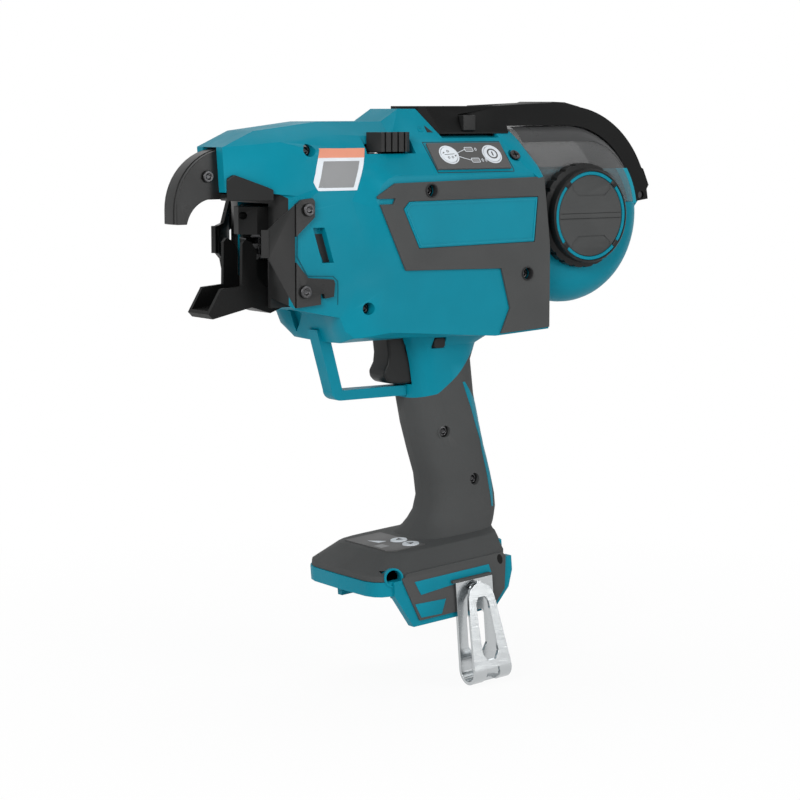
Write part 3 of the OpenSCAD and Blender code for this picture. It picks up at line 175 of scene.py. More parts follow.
# moulded plastic, soft overmould and blackened steel share this build-up
def mouldedMaterial(name, finish):
    mat, nodes, links, shader = startMaterial(name)
    r, g, b = finish["color"]
    dark, light = clouding["dark"], clouding["light"]
    cloud = noiseAt(nodes, links, clouding["scale"])
    tint = addNode(nodes, "ShaderNodeValToRGB")
    tint.color_ramp.elements[0].position = clouding["from"]
    tint.color_ramp.elements[1].position = clouding["to"]
    tint.color_ramp.elements[0].color = (r * dark, g * dark, b * dark, 1)
    tint.color_ramp.elements[1].color = (r * light, g * light, b * light, 1)
    links.new(cloud.outputs["Fac"], tint.inputs["Fac"])
    # sharp convex edges get a lighter colour, by how pointed the mesh is there
    geometry = addNode(nodes, "ShaderNodeNewGeometry")
    edgeRamp = addNode(nodes, "ShaderNodeValToRGB")
    edgeRamp.color_ramp.elements[0].position = edgeRange["from"]
    edgeRamp.color_ramp.elements[1].position = edgeRange["to"]
    edgeRamp.color_ramp.elements[0].color = (0, 0, 0, 1)
    top = finish["wear"]
    edgeRamp.color_ramp.elements[1].color = (top, top, top, 1)
    links.new(geometry.outputs["Pointiness"], edgeRamp.inputs["Fac"])
    edgeMix = addNode(nodes, "ShaderNodeMix", data_type="RGBA")
    links.new(edgeRamp.outputs["Color"], edgeMix.inputs["Factor"])
    links.new(tint.outputs["Color"], edgeMix.inputs[6])
    edgeMix.inputs[7].default_value = (r * 1.5 + 0.03, g * 1.35 + 0.03, b * 1.35 + 0.03, 1)
    links.new(edgeMix.outputs[2], shader.inputs["Base Color"])
    patch = noiseAt(nodes, links, 60.0)
    rough = spread(nodes, links, patch.outputs["Fac"], finish["rough"] - 0.05, finish["rough"] + 0.06)
    links.new(rough, shader.inputs["Roughness"])
    shader.inputs["Specular IOR Level"].default_value = finish["shine"]
    grain = noiseAt(nodes, links, finish["grain"], 2.0)
    bump = addNode(nodes, "ShaderNodeBump", Strength=finish["bump"], Distance=0.0002)
    links.new(grain.outputs["Fac"], bump.inputs["Height"])
    links.new(bump.outputs["Normal"], shader.inputs["Normal"])
    return mat


tealPlastic = mouldedMaterial("tealPlastic", tealFinish)
softGrip = mouldedMaterial("softGrip", gripFinish)
blackPlastic = mouldedMaterial("blackPlastic", blackFinish)
blackIron = mouldedMaterial("blackIron", ironFinish)
dullBlack = mouldedMaterial("dullBlack", dullFinish)
print("moulded materials made")


def metalMaterial(name, color, rough, stretch):
    mat, nodes, links, shader = startMaterial(name)
    shader.inputs["Metallic"].default_value = 1.0
    shader.inputs["Base Color"].default_value = (*color, 1)
    lines = noiseAt(nodes, links, 160.0, 4.0, stretch)
    streaks = spread(nodes, links, lines.outputs["Fac"], rough - 0.06, rough + 0.08)
    links.new(streaks, shader.inputs["Roughness"])
    bump = addNode(nodes, "ShaderNodeBump", Strength=0.06, Distance=0.0001)
    links.new(lines.outputs["Fac"], bump.inputs["Height"])
    links.new(bump.outputs["Normal"], shader.inputs["Normal"])
    return mat


brightSteel = metalMaterial("brightSteel", (0.49, 0.51, 0.52), 0.2, (1, 1, 14))
turnedSteel = metalMaterial("turnedSteel", (0.5, 0.51, 0.52), 0.32, (12, 1, 1))
darkSteel = metalMaterial("darkSteel", (0.055, 0.055, 0.057), 0.3, (6, 6, 1))
castAlloy = metalMaterial("castAlloy", (0.42, 0.42, 0.43), 0.5, (1, 1, 1))
brassMetal = metalMaterial("brassMetal", (0.62, 0.45, 0.18), 0.3, (1, 12, 1))


def smokedMaterial():
    mat, nodes, links, shader = startMaterial("smokedPlastic")
    shader.inputs["Alpha"].default_value = 0.55
    shader.inputs["Specular IOR Level"].default_value = 0.2
    cloud = noiseAt(nodes, links, 30.0)
    tint = addNode(nodes, "ShaderNodeValToRGB")
    tint.color_ramp.elements[0].color = (0.112, 0.114, 0.115, 1)
    tint.color_ramp.elements[1].color = (0.126, 0.128, 0.129, 1)
    links.new(cloud.outputs["Fac"], tint.inputs["Fac"])
    links.new(tint.outputs["Color"], shader.inputs["Base Color"])
    haze = noiseAt(nodes, links, 45.0)
    links.new(spread(nodes, links, haze.outputs["Fac"], 0.16, 0.24), shader.inputs["Roughness"])
    flow = noiseAt(nodes, links, 22.0, 1.0)
    bump = addNode(nodes, "ShaderNodeBump", Strength=0.03, Distance=0.0004)
    links.new(flow.outputs["Fac"], bump.inputs["Height"])
    links.new(bump.outputs["Normal"], shader.inputs["Normal"])
    return mat


def filmMaterial(name, color, rough=0.45):
    return mouldedMaterial(name, {"color": color, "rough": rough, **filmFinish})


smokedPlastic = smokedMaterial()
whiteFilm = filmMaterial("whiteFilm", (0.64, 0.68, 0.72), 0.4)
greyFilm = filmMaterial("greyFilm", (0.085, 0.085, 0.085))
paleGreyFilm = filmMaterial("paleGreyFilm", (0.24, 0.245, 0.25))
salmonFilm = filmMaterial("salmonFilm", (0.66, 0.27, 0.18))
# near black: print on keys and panels, and painted shade in the deep screw holes and the side opening
printAndShadeFilm = filmMaterial("printAndShadeFilm", (0.025, 0.025, 0.026))
holeShadeFilm = filmMaterial("holeShadeFilm", (0.003, 0.003, 0.003))
tealShade = filmMaterial("tealShade", (0.0, 0.085, 0.12), 0.45)
# a lighter copy of the teal: painted light on the case lip seen through the smoked lid
litTealLip = filmMaterial("litTealLip", (0.01, 0.27, 0.36), 0.4)
smokedEdge = filmMaterial("smokedEdge", (0.052, 0.053, 0.054), 0.3)
boardResist = filmMaterial("boardResist", (0.01, 0.1, 0.03), 0.35)
motorCoat = filmMaterial("motorCoat", (0.05, 0.05, 0.055), 0.4)
print("metal and film materials made")


# seats: where a small piece is set, as an origin with a right and an up direction, in mm
def seatAt(origin, right, up):
    across, along = Vector(right).normalized(), Vector(up).normalized()
    turn = Matrix((across, along, across.cross(along))).transposed().to_4x4()
    turn.translation = Vector(origin)
    return turn


def leftSeat(y, x=0.0, z=0.0):
    return seatAt((x, y, z), (1, 0, 0), (0, 0, 1))


def rightSeat(y, x=0.0, z=0.0):
    return seatAt((x, y, z), (-1, 0, 0), (0, 0, 1))


def mirrored(outline):
    return [(-x, z) for x, z in reversed(outline)]


slope = {"origin": (0, -29.5, 225.75), "lean": 50.96}
lean = math.radians(slope["lean"])
slopeSeat = seatAt(slope["origin"], (1, 0, 0), (0, math.cos(lean), math.sin(lean)))
tilt = math.radians(footTilt)
footSeat = seatAt((0, 0, 20.61), (math.cos(tilt), 0, math.sin(tilt)), (0, 1, 0))


def startOutline(name, outline):
    clearSelection()
    bpy.ops.mesh.primitive_circle_add(vertices=len(outline), radius=1, fill_type="NGON")
    piece = bpy.context.object
    piece.name = name
    piece.data.name = name
    for vert, (x, y) in zip(piece.data.vertices, outline):
        vert.co = (x, y, 0)
    return piece


def editAll(piece):
    makeActive(piece)
    bpy.ops.object.mode_set(mode="EDIT")
    bpy.ops.mesh.select_mode(type="FACE")
    bpy.ops.mesh.select_all(action="SELECT")


def raiseFace(piece, thick):
    editAll(piece)
    bpy.ops.mesh.extrude_region_move(TRANSFORM_OT_translate={"value": (0, 0, thick)})
    bpy.ops.mesh.select_all(action="SELECT")
    bpy.ops.mesh.normals_make_consistent(inside=False)
    bpy.ops.object.mode_set(mode="OBJECT")


def settle(piece, seat, likeNode, material, degrees=35):
    piece.data.transform(Matrix.Scale(mm, 4) @ seat)
    smoothByAngle(piece, degrees)
    paint(piece, material)
    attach(piece, nodeBody[likeNode])
    return piece


def plate(name, seat, likeNode, material, outline, thick, edge=0.12, sink=0.3):
    piece = startOutline(name, outline)
    raiseFace(piece, thick + sink)
    piece.data.transform(Matrix.Translation((0, 0, -sink)))
    if edge:
        applyModifier(piece, "BEVEL", width=edge, segments=2, limit_method="ANGLE", angle_limit=bevelFrom)
    return settle(piece, seat, likeNode, material)


# a thin line drawn round an outline: the face is inset and its middle taken out
def frameLine(name, seat, likeNode, material, outline, width, thick, sink=0.3):
    piece = startOutline(name, outline)
    editAll(piece)
    bpy.ops.mesh.inset(thickness=width, depth=0)
    bpy.ops.mesh.delete(type="FACE")
    bpy.ops.object.mode_set(mode="OBJECT")
    raiseFace(piece, thick + sink)
    piece.data.transform(Matrix.Translation((0, 0, -sink)))
    return settle(piece, seat, likeNode, material)


def roundPoints(centre, radius, sides=40, stretch=1.0):
    steps = [2 * math.pi * k / sides for k in range(sides)]
    return [(centre[0] + radius * stretch * math.cos(a), centre[1] + radius * math.sin(a)) for a in steps]


def roundedBox(x0, y0, x1, y1, r, steps=4):
    corners = [(x1 - r, y1 - r, 0), (x0 + r, y1 - r, 90), (x0 + r, y0 + r, 180), (x1 - r, y0 + r, 270)]
    turns = [(cx, cy, math.radians(a + 90 * k / steps)) for cx, cy, a in corners for k in range(steps + 1)]
    return [(cx + r * math.cos(a), cy + r * math.sin(a)) for cx, cy, a in turns]


def bar(start, end, width):
    run = Vector(end) - Vector(start)
    side = Vector((-run.y, run.x)).normalized() * width / 2
    points = [Vector(start) + side, Vector(start) - side, Vector(end) - side, Vector(end) + side]
    return [(q.x, q.y) for q in points]


# sinks a shape into a dressed solid: the cutter is raised from an outline, used once and removed
def sinkShape(target, seat, outline, depth, above=1.0):
    cutter = startOutline("cutter", outline)
    raiseFace(cutter, depth + above)
    cutter.data.transform(Matrix.Scale(mm, 4) @ seat @ Matrix.Translation((0, 0, -depth)))
    applyModifier(target, "BOOLEAN", operation="DIFFERENCE", object=cutter, solver="EXACT")
    bpy.data.objects.remove(cutter)
    smoothByAngle(target, smoothTo)


# holes that are bored before the edges are rounded
strapHole = {"place": (-34.3, -36.2, 6.9), "outer": 5.2, "inner": 4.1, "depth": 8.0, "linerRise": 0.5}
strapSeat = seatAt(strapHole["place"], (0.95, -0.3, 0.05), (0.0, 0.16, 1.0))
trimNotch = {"face": 38.4, "depth": 2.4,
             "outline": [(-48.0, 204.9), (-48.0, 202.0), (-35.8, 202.0), (-34.4, 204.9)]}
chinPocket = {"place": (-61.67, 13.57, 142.2), "depth": 3.0,
              "outline": [(-4.7, 5.1), (-3.0, -9.0), (7.2, 5.1)]}
chinSeat = seatAt(chinPocket["place"], (0.22, -0.975, 0.0), (-0.302, -0.068, 0.953))
bores = {
    "grip_left": [(strapSeat, roundPoints((0, 0), strapHole["inner"] + 0.2, 40), strapHole["depth"], 4)],
    "housing_right": [(chinSeat, chinPocket["outline"], chinPocket["depth"], 6)],
    "side_trim_left": [(leftSeat(-trimNotch["face"]), trimNotch["outline"], trimNotch["depth"], 1)],
    "side_trim_right": [(rightSeat(trimNotch["face"]), mirrored(trimNotch["outline"]), trimNotch["depth"], 1)],
}

# how each solid is dressed: material, edge rounding in mm, rounding starts at this angle
dressing = {
    "housing_left": (tealPlastic, 0.8, 24), "housing_right": (tealPlastic, 0.8, 24),
    "foot_rim_left": (tealPlastic, 0.9, 30), "foot_rim_right": (tealPlastic, 0.9, 30),
    "badge_left": (tealPlastic, 0.5, 30), "badge_right": (tealPlastic, 0.5, 30),
    "reel_case": (tealPlastic, 0.5, 40), "knob_band": (tealPlastic, 0.3, 40),
    "grip_left": (softGrip, 0.8, 28), "grip_right": (softGrip, 0.8, 28),
    "side_trim_left": (softGrip, 0.6, 30), "side_trim_right": (softGrip, 0.6, 30),
    "nose_cover": (blackPlastic, 0.6, 30), "curl_arm": (blackIron, 0.8, 30),
    "arm_cheek_left": (blackIron, 0.9, 30), "arm_cheek_right": (blackIron, 0.9, 30),
    "arm_screw": (darkSteel, 0.7, 30), "lower_guide": (dullBlack, 0.6, 30),
    "guide_pin": (turnedSteel, 0.3, 30), "contact_plate_left": (blackIron, 0.5, 30),
    "contact_plate_right": (blackIron, 0.5, 30), "plate_screws": (darkSteel, 0.7, 30),
    "wire_nozzle": (dullBlack, 0.6, 30), "release_lever": (blackPlastic, 0.5, 30),
    "reel_lid": (smokedPlastic, 0.4, 40), "lid_spine": (dullBlack, 1.2, 30),
    "lid_latch": (blackPlastic, 0.6, 30), "knob_ring": (blackPlastic, 0.5, 35),
    "knob_face": (softGrip, 0.4, 30), "trigger": (blackPlastic, 1.6, 30),
    "lock_button": (blackPlastic, 0.6, 30), "top_panel": (greyFilm, 0.4, 30),
    "mode_key": (whiteFilm, 0.3, 30), "power_key": (whiteFilm, 0.3, 30),
    "foot_panel": (greyFilm, 0.4, 30), "down_key": (whiteFilm, 0.3, 30), "up_key": (whiteFilm, 0.3, 30),
    "belt_hook": (brightSteel, 0.5, 30), "hook_screw": (brightSteel, 0.3, 30),
    "housing_screws": (darkSteel, 0.8, 30), "mech_frame": (blackIron, 0.5, 30),
    "twist_sleeve": (darkSteel, 0.4, 30), "reel_plunger": (turnedSteel, 0.4, 30),
}
bare = {
    "cutter_shaft": turnedSteel, "twist_gear": turnedSteel, "twist_motor": motorCoat,
    "motor_rotor": turnedSteel, "feed_plate": castAlloy, "feed_motor": motorCoat,
    "drive_wheel": turnedSteel, "idle_wheel": turnedSteel, "lever_pin": turnedSteel,
    "lid_pin": darkSteel, "reel_hub": blackPlastic, "switch_unit": blackPlastic,
    "control_board": boardResist, "terminal_block": blackPlastic, "hook_insert": brassMetal,
}
nodeBody = {n: b for b, ns in frame["record"]["behaviour"]["bodies"].items() for n in ns}


def camel(node):
    first, *rest = node.split("_")
    return first + "".join(word.capitalize() for word in rest)


def copyNode(node):
    source = frame["nodes"][node]
    piece = source.copy()
    piece.data = source.data.copy()
    for key in list(piece.keys()):
        del piece[key]
    piece.parent = None
    piece.name = camel(node)
    piece.data.name = piece.name
    scene.collection.objects.link(piece)
    return piece


def dressNode(node, material, rounding, angle):
    piece = copyNode(node)
    makeActive(piece)
    bpy.ops.object.mode_set(mode="EDIT")
    bpy.ops.mesh.select_all(action="SELECT")
    bpy.ops.mesh.remove_doubles(threshold=weldGap)
    bpy.ops.object.mode_set(mode="OBJECT")
    for bore in bores.get(node, []):
        sinkShape(piece, *bore)
    makeActive(piece)
    bpy.ops.object.mode_set(mode="EDIT")
    bpy.ops.mesh.select_all(action="SELECT")
    bpy.ops.mesh.dissolve_limited(angle_limit=flatWithin)
    bpy.ops.object.mode_set(mode="OBJECT")
    applyModifier(piece, "BEVEL", width=rounding * mm, segments=2, limit_method="ANGLE",
                  angle_limit=math.radians(angle), miter_outer="MITER_ARC", use_clamp_overlap=True)
    smoothByAngle(piece, smoothTo)
    applyModifier(piece, "WEIGHTED_NORMAL", keep_sharp=True, weight=60)
    paint(piece, material)
    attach(piece, nodeBody[node])
    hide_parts(node)
    return piece


# walls with a colour of their own: faces of a solid in a box, in mm, that look forwards
mouthWalls = {"low": (-110, -29, 139.5), "high": (-80, 29, 207), "forward": -0.5}


def coatWalls(piece, material, walls):
    piece.data.materials.append(material)
    for face in piece.data.polygons:
        place = face.center / mm
        inside = all(a < q < b for a, q, b in zip(walls["low"], place, walls["high"]))
        if inside and face.normal.x < walls["forward"]:
            face.material_index = 1


pieces = {node: dressNode(node, *how) for node, how in dressing.items()}
for node in ("housing_left", "housing_right"):
    coatWalls(pieces[node], blackIron, mouthWalls)
for node, material in bare.items():
    paint(frame["nodes"][node], material)
print("solids dressed:", len(pieces))


# a thin film between two edges drawn in X and Z, laid on a solid from the left (-1) or the right (1)
def film(name, leftEdge, rightEdge, cuts, onNode, lift, thick, material, trims=(), side=-1):
    start = filmStart * side
    clearSelection()
    across, down = cuts
    bpy.ops.mesh.primitive_grid_add(x_subdivisions=across, y_subdivisions=down, size=2)
    piece = bpy.context.object
    piece.name = name
    piece.data.name = name

    def onEdge(edge, v):
        place = v * (len(edge) - 1)
        k = min(int(place), len(edge) - 2)
        return Vector(edge[k]).lerp(Vector(edge[k + 1]), place - k)

    for vert in piece.data.vertices:
        u, v = (vert.co.x + 1) / 2, (1 - vert.co.y) / 2
        q = onEdge(leftEdge, v).lerp(onEdge(rightEdge, v), u)
        vert.co = (q.x * mm, start, q.y * mm)
    for at, facing in trims:
        editAll(piece)
        bpy.ops.mesh.bisect(plane_co=(at[0] * mm, start, at[1] * mm), plane_no=(facing[0], 0, facing[1]),
                            clear_outer=True)
        bpy.ops.object.mode_set(mode="OBJECT")
    editAll(piece)
    bpy.ops.mesh.normals_make_consistent(inside=False)
    bpy.ops.object.mode_set(mode="OBJECT")
    applyModifier(piece, "SHRINKWRAP", target=pieces[onNode], wrap_method="PROJECT", use_project_y=True,
                  use_positive_direction=side < 0, use_negative_direction=side > 0, wrap_mode="ABOVE_SURFACE",
                  offset=lift * mm)
    applyModifier(piece, "SOLIDIFY", thickness=thick * mm, offset=0)
    smoothByAngle(piece, 40)
    paint(piece, material)
    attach(piece, nodeBody[onNode])
    return piece


# cross recesses in the housing screws
screwHeads = {"places": [(-12.0, -35.2, 208.5), (51.13, -35.2, 163.0), (-79.8, -23.2, 229.7),
                         (-48.8, -30.2, 148.8), (13.2, -14.7, 78.2), (32.7, -14.7, 50.9)],
              "panelAt": (49, 0, 1.0), "reach": 1.9, "width": 0.8, "depth": 0.9}


def crossOutline(reach, half):
    return [(half, half), (half, reach), (-half, reach), (-half, half), (-reach, half), (-reach, -half),
            (-half, -half), (-half, -reach), (half, -reach), (half, -half), (reach, -half), (reach, half)]


def recessScrews(heads):
    cross = crossOutline(heads["reach"], heads["width"] / 2)
    for x, y, z in heads["places"]:
        sinkShape(pieces["housing_screws"], leftSeat(y, x, z), cross, heads["depth"])
    panelScrew = slopeSeat @ Matrix.Translation(heads["panelAt"])
    sinkShape(pieces["housing_screws"], panelScrew, cross, heads["depth"])


recessScrews(screwHeads)
print("screw recesses cut")

# colour-blocked sticker on the nose
sticker = {"left": [(-74.3, 230.6), (-80.0, 209.4)], "right": [(-46.8, 230.5), (-54.2, 209.4)],
           "cut": ((-77.8, 211.6), (-0.9, -0.44)), "bandPart": 0.22, "block": (0.13, 0.9, 0.3, 0.93)}


def quadPart(shape, u0, u1, v0, v1):
    leftTop, leftFoot = map(Vector, shape["left"])
    rightTop, rightFoot = map(Vector, shape["right"])

    def at(u, v):
        return tuple(leftTop.lerp(leftFoot, v).lerp(rightTop.lerp(rightFoot, v), u))

    return [at(u0, v0), at(u0, v1)], [at(u1, v0), at(u1, v1)]


def layStickers(shape):
    film("noseSticker", shape["left"], shape["right"], (26, 24), "housing_left", 0.1, 0.12, whiteFilm,
         [shape["cut"]])
    edges = quadPart(shape, 0.0, 1.0, 0.0, shape["bandPart"])
    film("stickerBand", *edges, (26, 8), "housing_left", 0.17, 0.12, salmonFilm)
    u0, u1, v0, v1 = shape["block"]
    edges = quadPart(shape, u0, u1, v0, v1)
    film("stickerBlock", *edges, (20, 16), "housing_left", 0.17, 0.12, paleGreyFilm)


layStickers(sticker)
print("stickers laid")

# key panel on the left shoulder: surround line and plain signs
keyPanel = {"surround": (-7.6, -10.8, 44.2, 9.6), "lineWidth": 0.4, "keyTop": 1.8, "panelTop": 1.27,
            "modeAt": (5, 0), "powerAt": (33, 0), "rise": 0.08, "stemFrom": 10.6, "haloRadius": 6.0,
            "modeDrops": [(-0.4, 2.0, 0.75), (-1.3, -2.2, 0.7), (1.2, -2.0, 0.7)],
            "modeArrow": [(-4.3, 0.4), (-3.4, 1.7), (-2.8, 0.9)], "settings": [(16.5, 3.4), (18.0, -3.8)]}


def dressPowerKey(setup):
    keyTop = slopeSeat @ Matrix.Translation((*setup["powerAt"], setup["keyTop"]))
    rise = setup["rise"]
    frameLine("powerRing", keyTop, "power_key", greyFilm, roundPoints((0, 0), 3.3), 0.8, rise)
    plate("powerBar", keyTop, "power_key", greyFilm, roundedBox(-0.4, -1.4, 0.4, 1.4, 0.35), rise, 0)


def dressModeKey(setup):
    keyTop = slopeSeat @ Matrix.Translation((*setup["modeAt"], setup["keyTop"]))
    rise = setup["rise"]
    plate("modeBar", keyTop, "mode_key", greyFilm, bar((-3.2, -0.2), (3.2, 0.2), 0.3), rise, 0)
    for k, (x, y, r) in enumerate(setup["modeDrops"]):
        frameLine(f"modeDrop{k}", keyTop, "mode_key", greyFilm, roundPoints((x, y), r, 20), 0.28, rise)
    for name, side in (("modeArrowLeft", 1), ("modeArrowRight", -1)):
        arrow = [(side * x, side * y) for x, y in setup["modeArrow"]]
        plate(name, keyTop, "mode_key", greyFilm, arrow, rise, 0)


def markSettings(setup, top):
    rise = setup["rise"]
    for k, (x, y) in enumerate(setup["settings"]):
        box = roundedBox(x, y - 1.5, x + 5.4, y + 1.5, 0.7)
        frameLine(f"settingBox{k}", top, "top_panel", whiteFilm, box, 0.32, rise)
        fill = roundedBox(x + 0.6, y - 0.9, x + 4.8, y + 0.9, 0.3)
        plate(f"settingFill{k}", top, "top_panel", paleGreyFilm, fill, 0.06, 0)
        stem = bar((setup["stemFrom"], y * 0.3), (x, y), 0.32)
        plate(f"settingStem{k}", top, "top_panel", whiteFilm, stem, rise, 0)
        for m in range(k + 1):
            loop = roundPoints((x + 7.2 + 2.2 * m, y), 1.0, 20, 0.6)
            frameLine(f"settingLoop{k}{m}", top, "top_panel", whiteFilm, loop, 0.26, rise)


def dressKeyPanel(setup):
    x0, y0, x1, y1 = setup["surround"]
    edge = [(x0, y1), (x0 + 1.4, y0), (x1 - 0.5, y0), (x1, y0 + 2), (x1 - 1.5, y1)]
    frameLine("panelSurround", slopeSeat, "housing_left", printAndShadeFilm, edge, setup["lineWidth"], 0.06)
    top = slopeSeat @ Matrix.Translation((0, 0, setup["panelTop"]))
    dressPowerKey(setup)
    dressModeKey(setup)
    markSettings(setup, top)
    for name, key in (("modeHalo", "modeAt"), ("powerHalo", "powerAt")):
        seat = top @ Matrix.Translation((*setup[key], 0))
        frameLine(name, seat, "top_panel", whiteFilm, roundPoints((0, 0), setup["haloRadius"], 48), 0.75, 0.1)


dressKeyPanel(keyPanel)
print("key panel dressed")

# dark sleeves in the deep screw holes of the side frame: painted shade deep in the holes
shadedHoles = {"places": [(-12.0, 208.5), (51.13, 163.0)], "outer": 3.7, "inner": 3.15,
             "front": -39.2, "depth": 3.8}


def tube(name, seat, likeNode, material, outer, inner, depth, edge=0.15):
    ring = startOutline(name, roundPoints((0, 0), outer, 48))
    editAll(ring)
    bpy.ops.mesh.inset(thickness=outer - inner, depth=0)
    bpy.ops.mesh.delete(type="FACE")
    bpy.ops.object.mode_set(mode="OBJECT")
    raiseFace(ring, depth)
    ring.data.transform(Matrix.Translation((0, 0, -depth)))
    applyModifier(ring, "BEVEL", width=edge, segments=2, limit_method="ANGLE", angle_limit=bevelFrom)
    return settle(ring, seat, likeNode, material)


def sleeveHoles(holes):
    for k, (x, z) in enumerate(holes["places"]):
        seat = leftSeat(holes["front"], x, z)
        tube(f"holeShadeSleeve{k}", seat, "side_trim_left", printAndShadeFilm, holes["outer"], holes["inner"], holes["depth"])


sleeveHoles(shadedHoles)
print("screw holes sleeved")

# painted shadow along the edge of the recess round the contact plate, the shoulder's flange over the front
# of the lid, and a dark plate of painted shade behind the side opening
plateRecess = {"line": [(-80.5, 195.2), (-90.0, 187.6), (-90.2, 176.4), (-84.3, 166.6), (-69.0, 165.9),
                        (-66.1, 163.2), (-66.0, 151.2)], "width": 0.6}
recessEdge = [(x + plateRecess["width"], z + 0.7 * plateRecess["width"]) for x, z in plateRecess["line"]]
# a thin dark teal strip: painted shadow along the step of the recess
film("recessShadowLine", plateRecess["line"], recessEdge, (1, 60), "housing_left", 0.03, 0.1, tealShade)
flange = [(43.0, 16.0), (45.5, 8.3), (49.4, -0.5), (52.8, -8.7), (58.3, -15.0), (61.5, -14.5),
          (61.2, -7.1), (56.1, 10.6), (53.4, 16.0)]
plate("shoulderFlange", slopeSeat, "housing_left", tealPlastic, flange, 0.05, 0.3, 2.0)
sideOpening = {"floor": -27.0, "outline": [(-78.2, 187.6), (-71.2, 172.6), (-65.2, 172.6), (-71.6, 187.6)]}
# a near-black plate of painted shade inside the side opening
plate("openingShade", leftSeat(sideOpening["floor"]), "housing_left", printAndShadeFilm, sideOpening["outline"], 0.2, 0)
print("housing edges laid")

# moulded marks on the shoulder in front of the lid
shoulderMarks = {"origin": (-2.6, -18.45, 240.65), "lean": 58.0, "rise": 0.22, "edge": 0.06,
                 "arrow": [(0.4, 1.2), (0.9, -3.0), (4.6, -3.0)], "lockBox": (-4.4, -2.4, -1.2, -0.2, 0.3),
                 "loopAt": (-2.8, 0.2), "loopRadius": 1.2, "loopWidth": 0.4}


def mouldMarks(setup):
    a = math.radians(setup["lean"])
    seat = seatAt(setup["origin"], (1, 0, 0), (0, math.cos(a), math.sin(a)))
    rise, edge = setup["rise"], setup["edge"]
    plate("openArrow", seat, "housing_left", printAndShadeFilm, setup["arrow"], rise, edge)
    plate("lockBody", seat, "housing_left", tealPlastic, roundedBox(*setup["lockBox"]), rise, edge)
    loop = roundPoints(setup["loopAt"], setup["loopRadius"], 24)
    frameLine("lockLoop", seat, "housing_left", tealPlastic, loop, setup["loopWidth"], rise)


mouldMarks(shoulderMarks)
print("shoulder marks moulded")

# knob: centre bar between two grooves, scoops above and below, notches in the band
knob = {"centre": (96.6, 192.5), "front": -36.6, "barHalf": 1.4, "groove": 0.4, "grooveDepth": 0.6,
        "grooveReach": 24, "scoopDepth": 0.8,
        "scoop": [(-9.2, 10.8), (9.2, 10.8), (13.4, 14.4), (13.4, 24), (-13.4, 24), (-13.4, 14.4)],
        "notchTurns": (47, 133, 222, 318), "notch": (-1.1, -2.0, 1.1, 2.0, 0.3),
        "bandMid": 23.1, "bandDrop": 0.4}


def dressKnob(setup):
    x, z = setup["centre"]
    seat = leftSeat(setup["front"], x, z)
    face = pieces["knob_face"]
    reach = setup["grooveReach"]
    for side in (1, -1):
        sinkShape(face, seat, [(u, v * side) for u, v in setup["scoop"]], setup["scoopDepth"])
        y = setup["barHalf"] * side
        sinkShape(face, seat, bar((-reach, y), (reach, y), setup["groove"]), setup["grooveDepth"])
    notch = roundedBox(*setup["notch"])
    toBand = Matrix.Translation((setup["bandMid"], 0, -setup["bandDrop"]))
    for k, a in enumerate(setup["notchTurns"]):
        notchSeat = seat @ Matrix.Rotation(math.radians(a), 4, "Z") @ toBand
        plate(f"bandNotch{k}", notchSeat, "knob_ring", blackPlastic, notch, 0.25, 0.1)


dressKnob(knob)
print("knob dressed")

# lid: shallow slot on the spine with the end of its spring pin
lidSlot = {"centre": (38.0, -2.0, 251.8), "half": (13.0, 7.0), "corner": 2.5, "depth": 1.3,
           "pin": (46.0, -6.0), "pinRadius": 1.3, "pinRise": 1.0}


def cutLidSlot(setup):
    x, y, z = setup["centre"]
    hx, hy = setup["half"]
    seat = seatAt((x, y, z), (1, 0, 0), (0, 1, 0))
    sinkShape(pieces["lid_spine"], seat, roundedBox(-hx, -hy, hx, hy, setup["corner"]), setup["depth"])
    px, py = setup["pin"]
    pinSeat = seatAt((px, py, z - setup["depth"]), (1, 0, 0), (0, 1, 0))
    pinEnd = roundPoints((0, 0), setup["pinRadius"], 24)
    plate("slotPin", pinSeat, "lid_spine", turnedSteel, pinEnd, setup["pinRise"], 0.3)


cutLidSlot(lidSlot)

# border of the lid: a darker step under the spine, and a teal front wall
lidBorder = {"low": [(59.0, 232.4), (70.0, 232.7), (85.0, 232.7), (100.0, 232.8), (109.0, 232.4),
                     (119.0, 229.2), (126.5, 223.8), (131.4, 218.0)],
             "high": [(57.5, 240.4), (70.0, 240.9), (85.0, 240.9), (100.0, 240.2), (108.0, 238.6),
                      (118.5, 232.4), (126.0, 225.8), (131.0, 219.2)]}
lidFront = {"low": (50, -30, 205), "high": (70, 30, 245), "forward": -0.5}
film("lidBorder", lidBorder["low"], lidBorder["high"], (10, 60), "reel_lid", 0.12, 0.2, smokedEdge)
coatWalls(pieces["reel_lid"], tealPlastic, lidFront)
pieces["reel_lid"].visible_shadow = False
print("lid dressed")

# teal lip of the case, seen through the smoked lid, in a lighter copy of the teal: painted light for what the
# smoked lid takes away
caseLip = {"centre": (96.6, 192.5), "radius": 44.6, "arc": (7, 35, 3), "front": 70.0, "foot": 198.0,
           "top": 217.5, "face": 22.2, "thick": 0.8}


def raiseCaseLip(lip):
    x, z = lip["centre"]
    r, low, high = lip["radius"], lip["foot"] - z, lip["top"] - z
    arc = [math.radians(a) for a in range(*lip["arc"])]
    outline = [(lip["front"] - x, low), (r * math.cos(arc[0]), low)]
    outline += [(r * math.cos(a), max(low, r * math.sin(a))) for a in arc if r * math.sin(a) < high]
    outline += [(math.sqrt(r * r - high * high), high), (lip["front"] - x, high)]
    back, thick = lip["face"] - lip["thick"], lip["thick"]
    plate("caseLipLeft", leftSeat(-back, x, z), "reel_case", litTealLip, outline, thick, 0.1, 0.0)
    flipped = [(-u, v) for u, v in outline]
    plate("caseLipRight", rightSeat(back, x, z), "reel_case", litTealLip, flipped, thick, 0.1, 0.0)


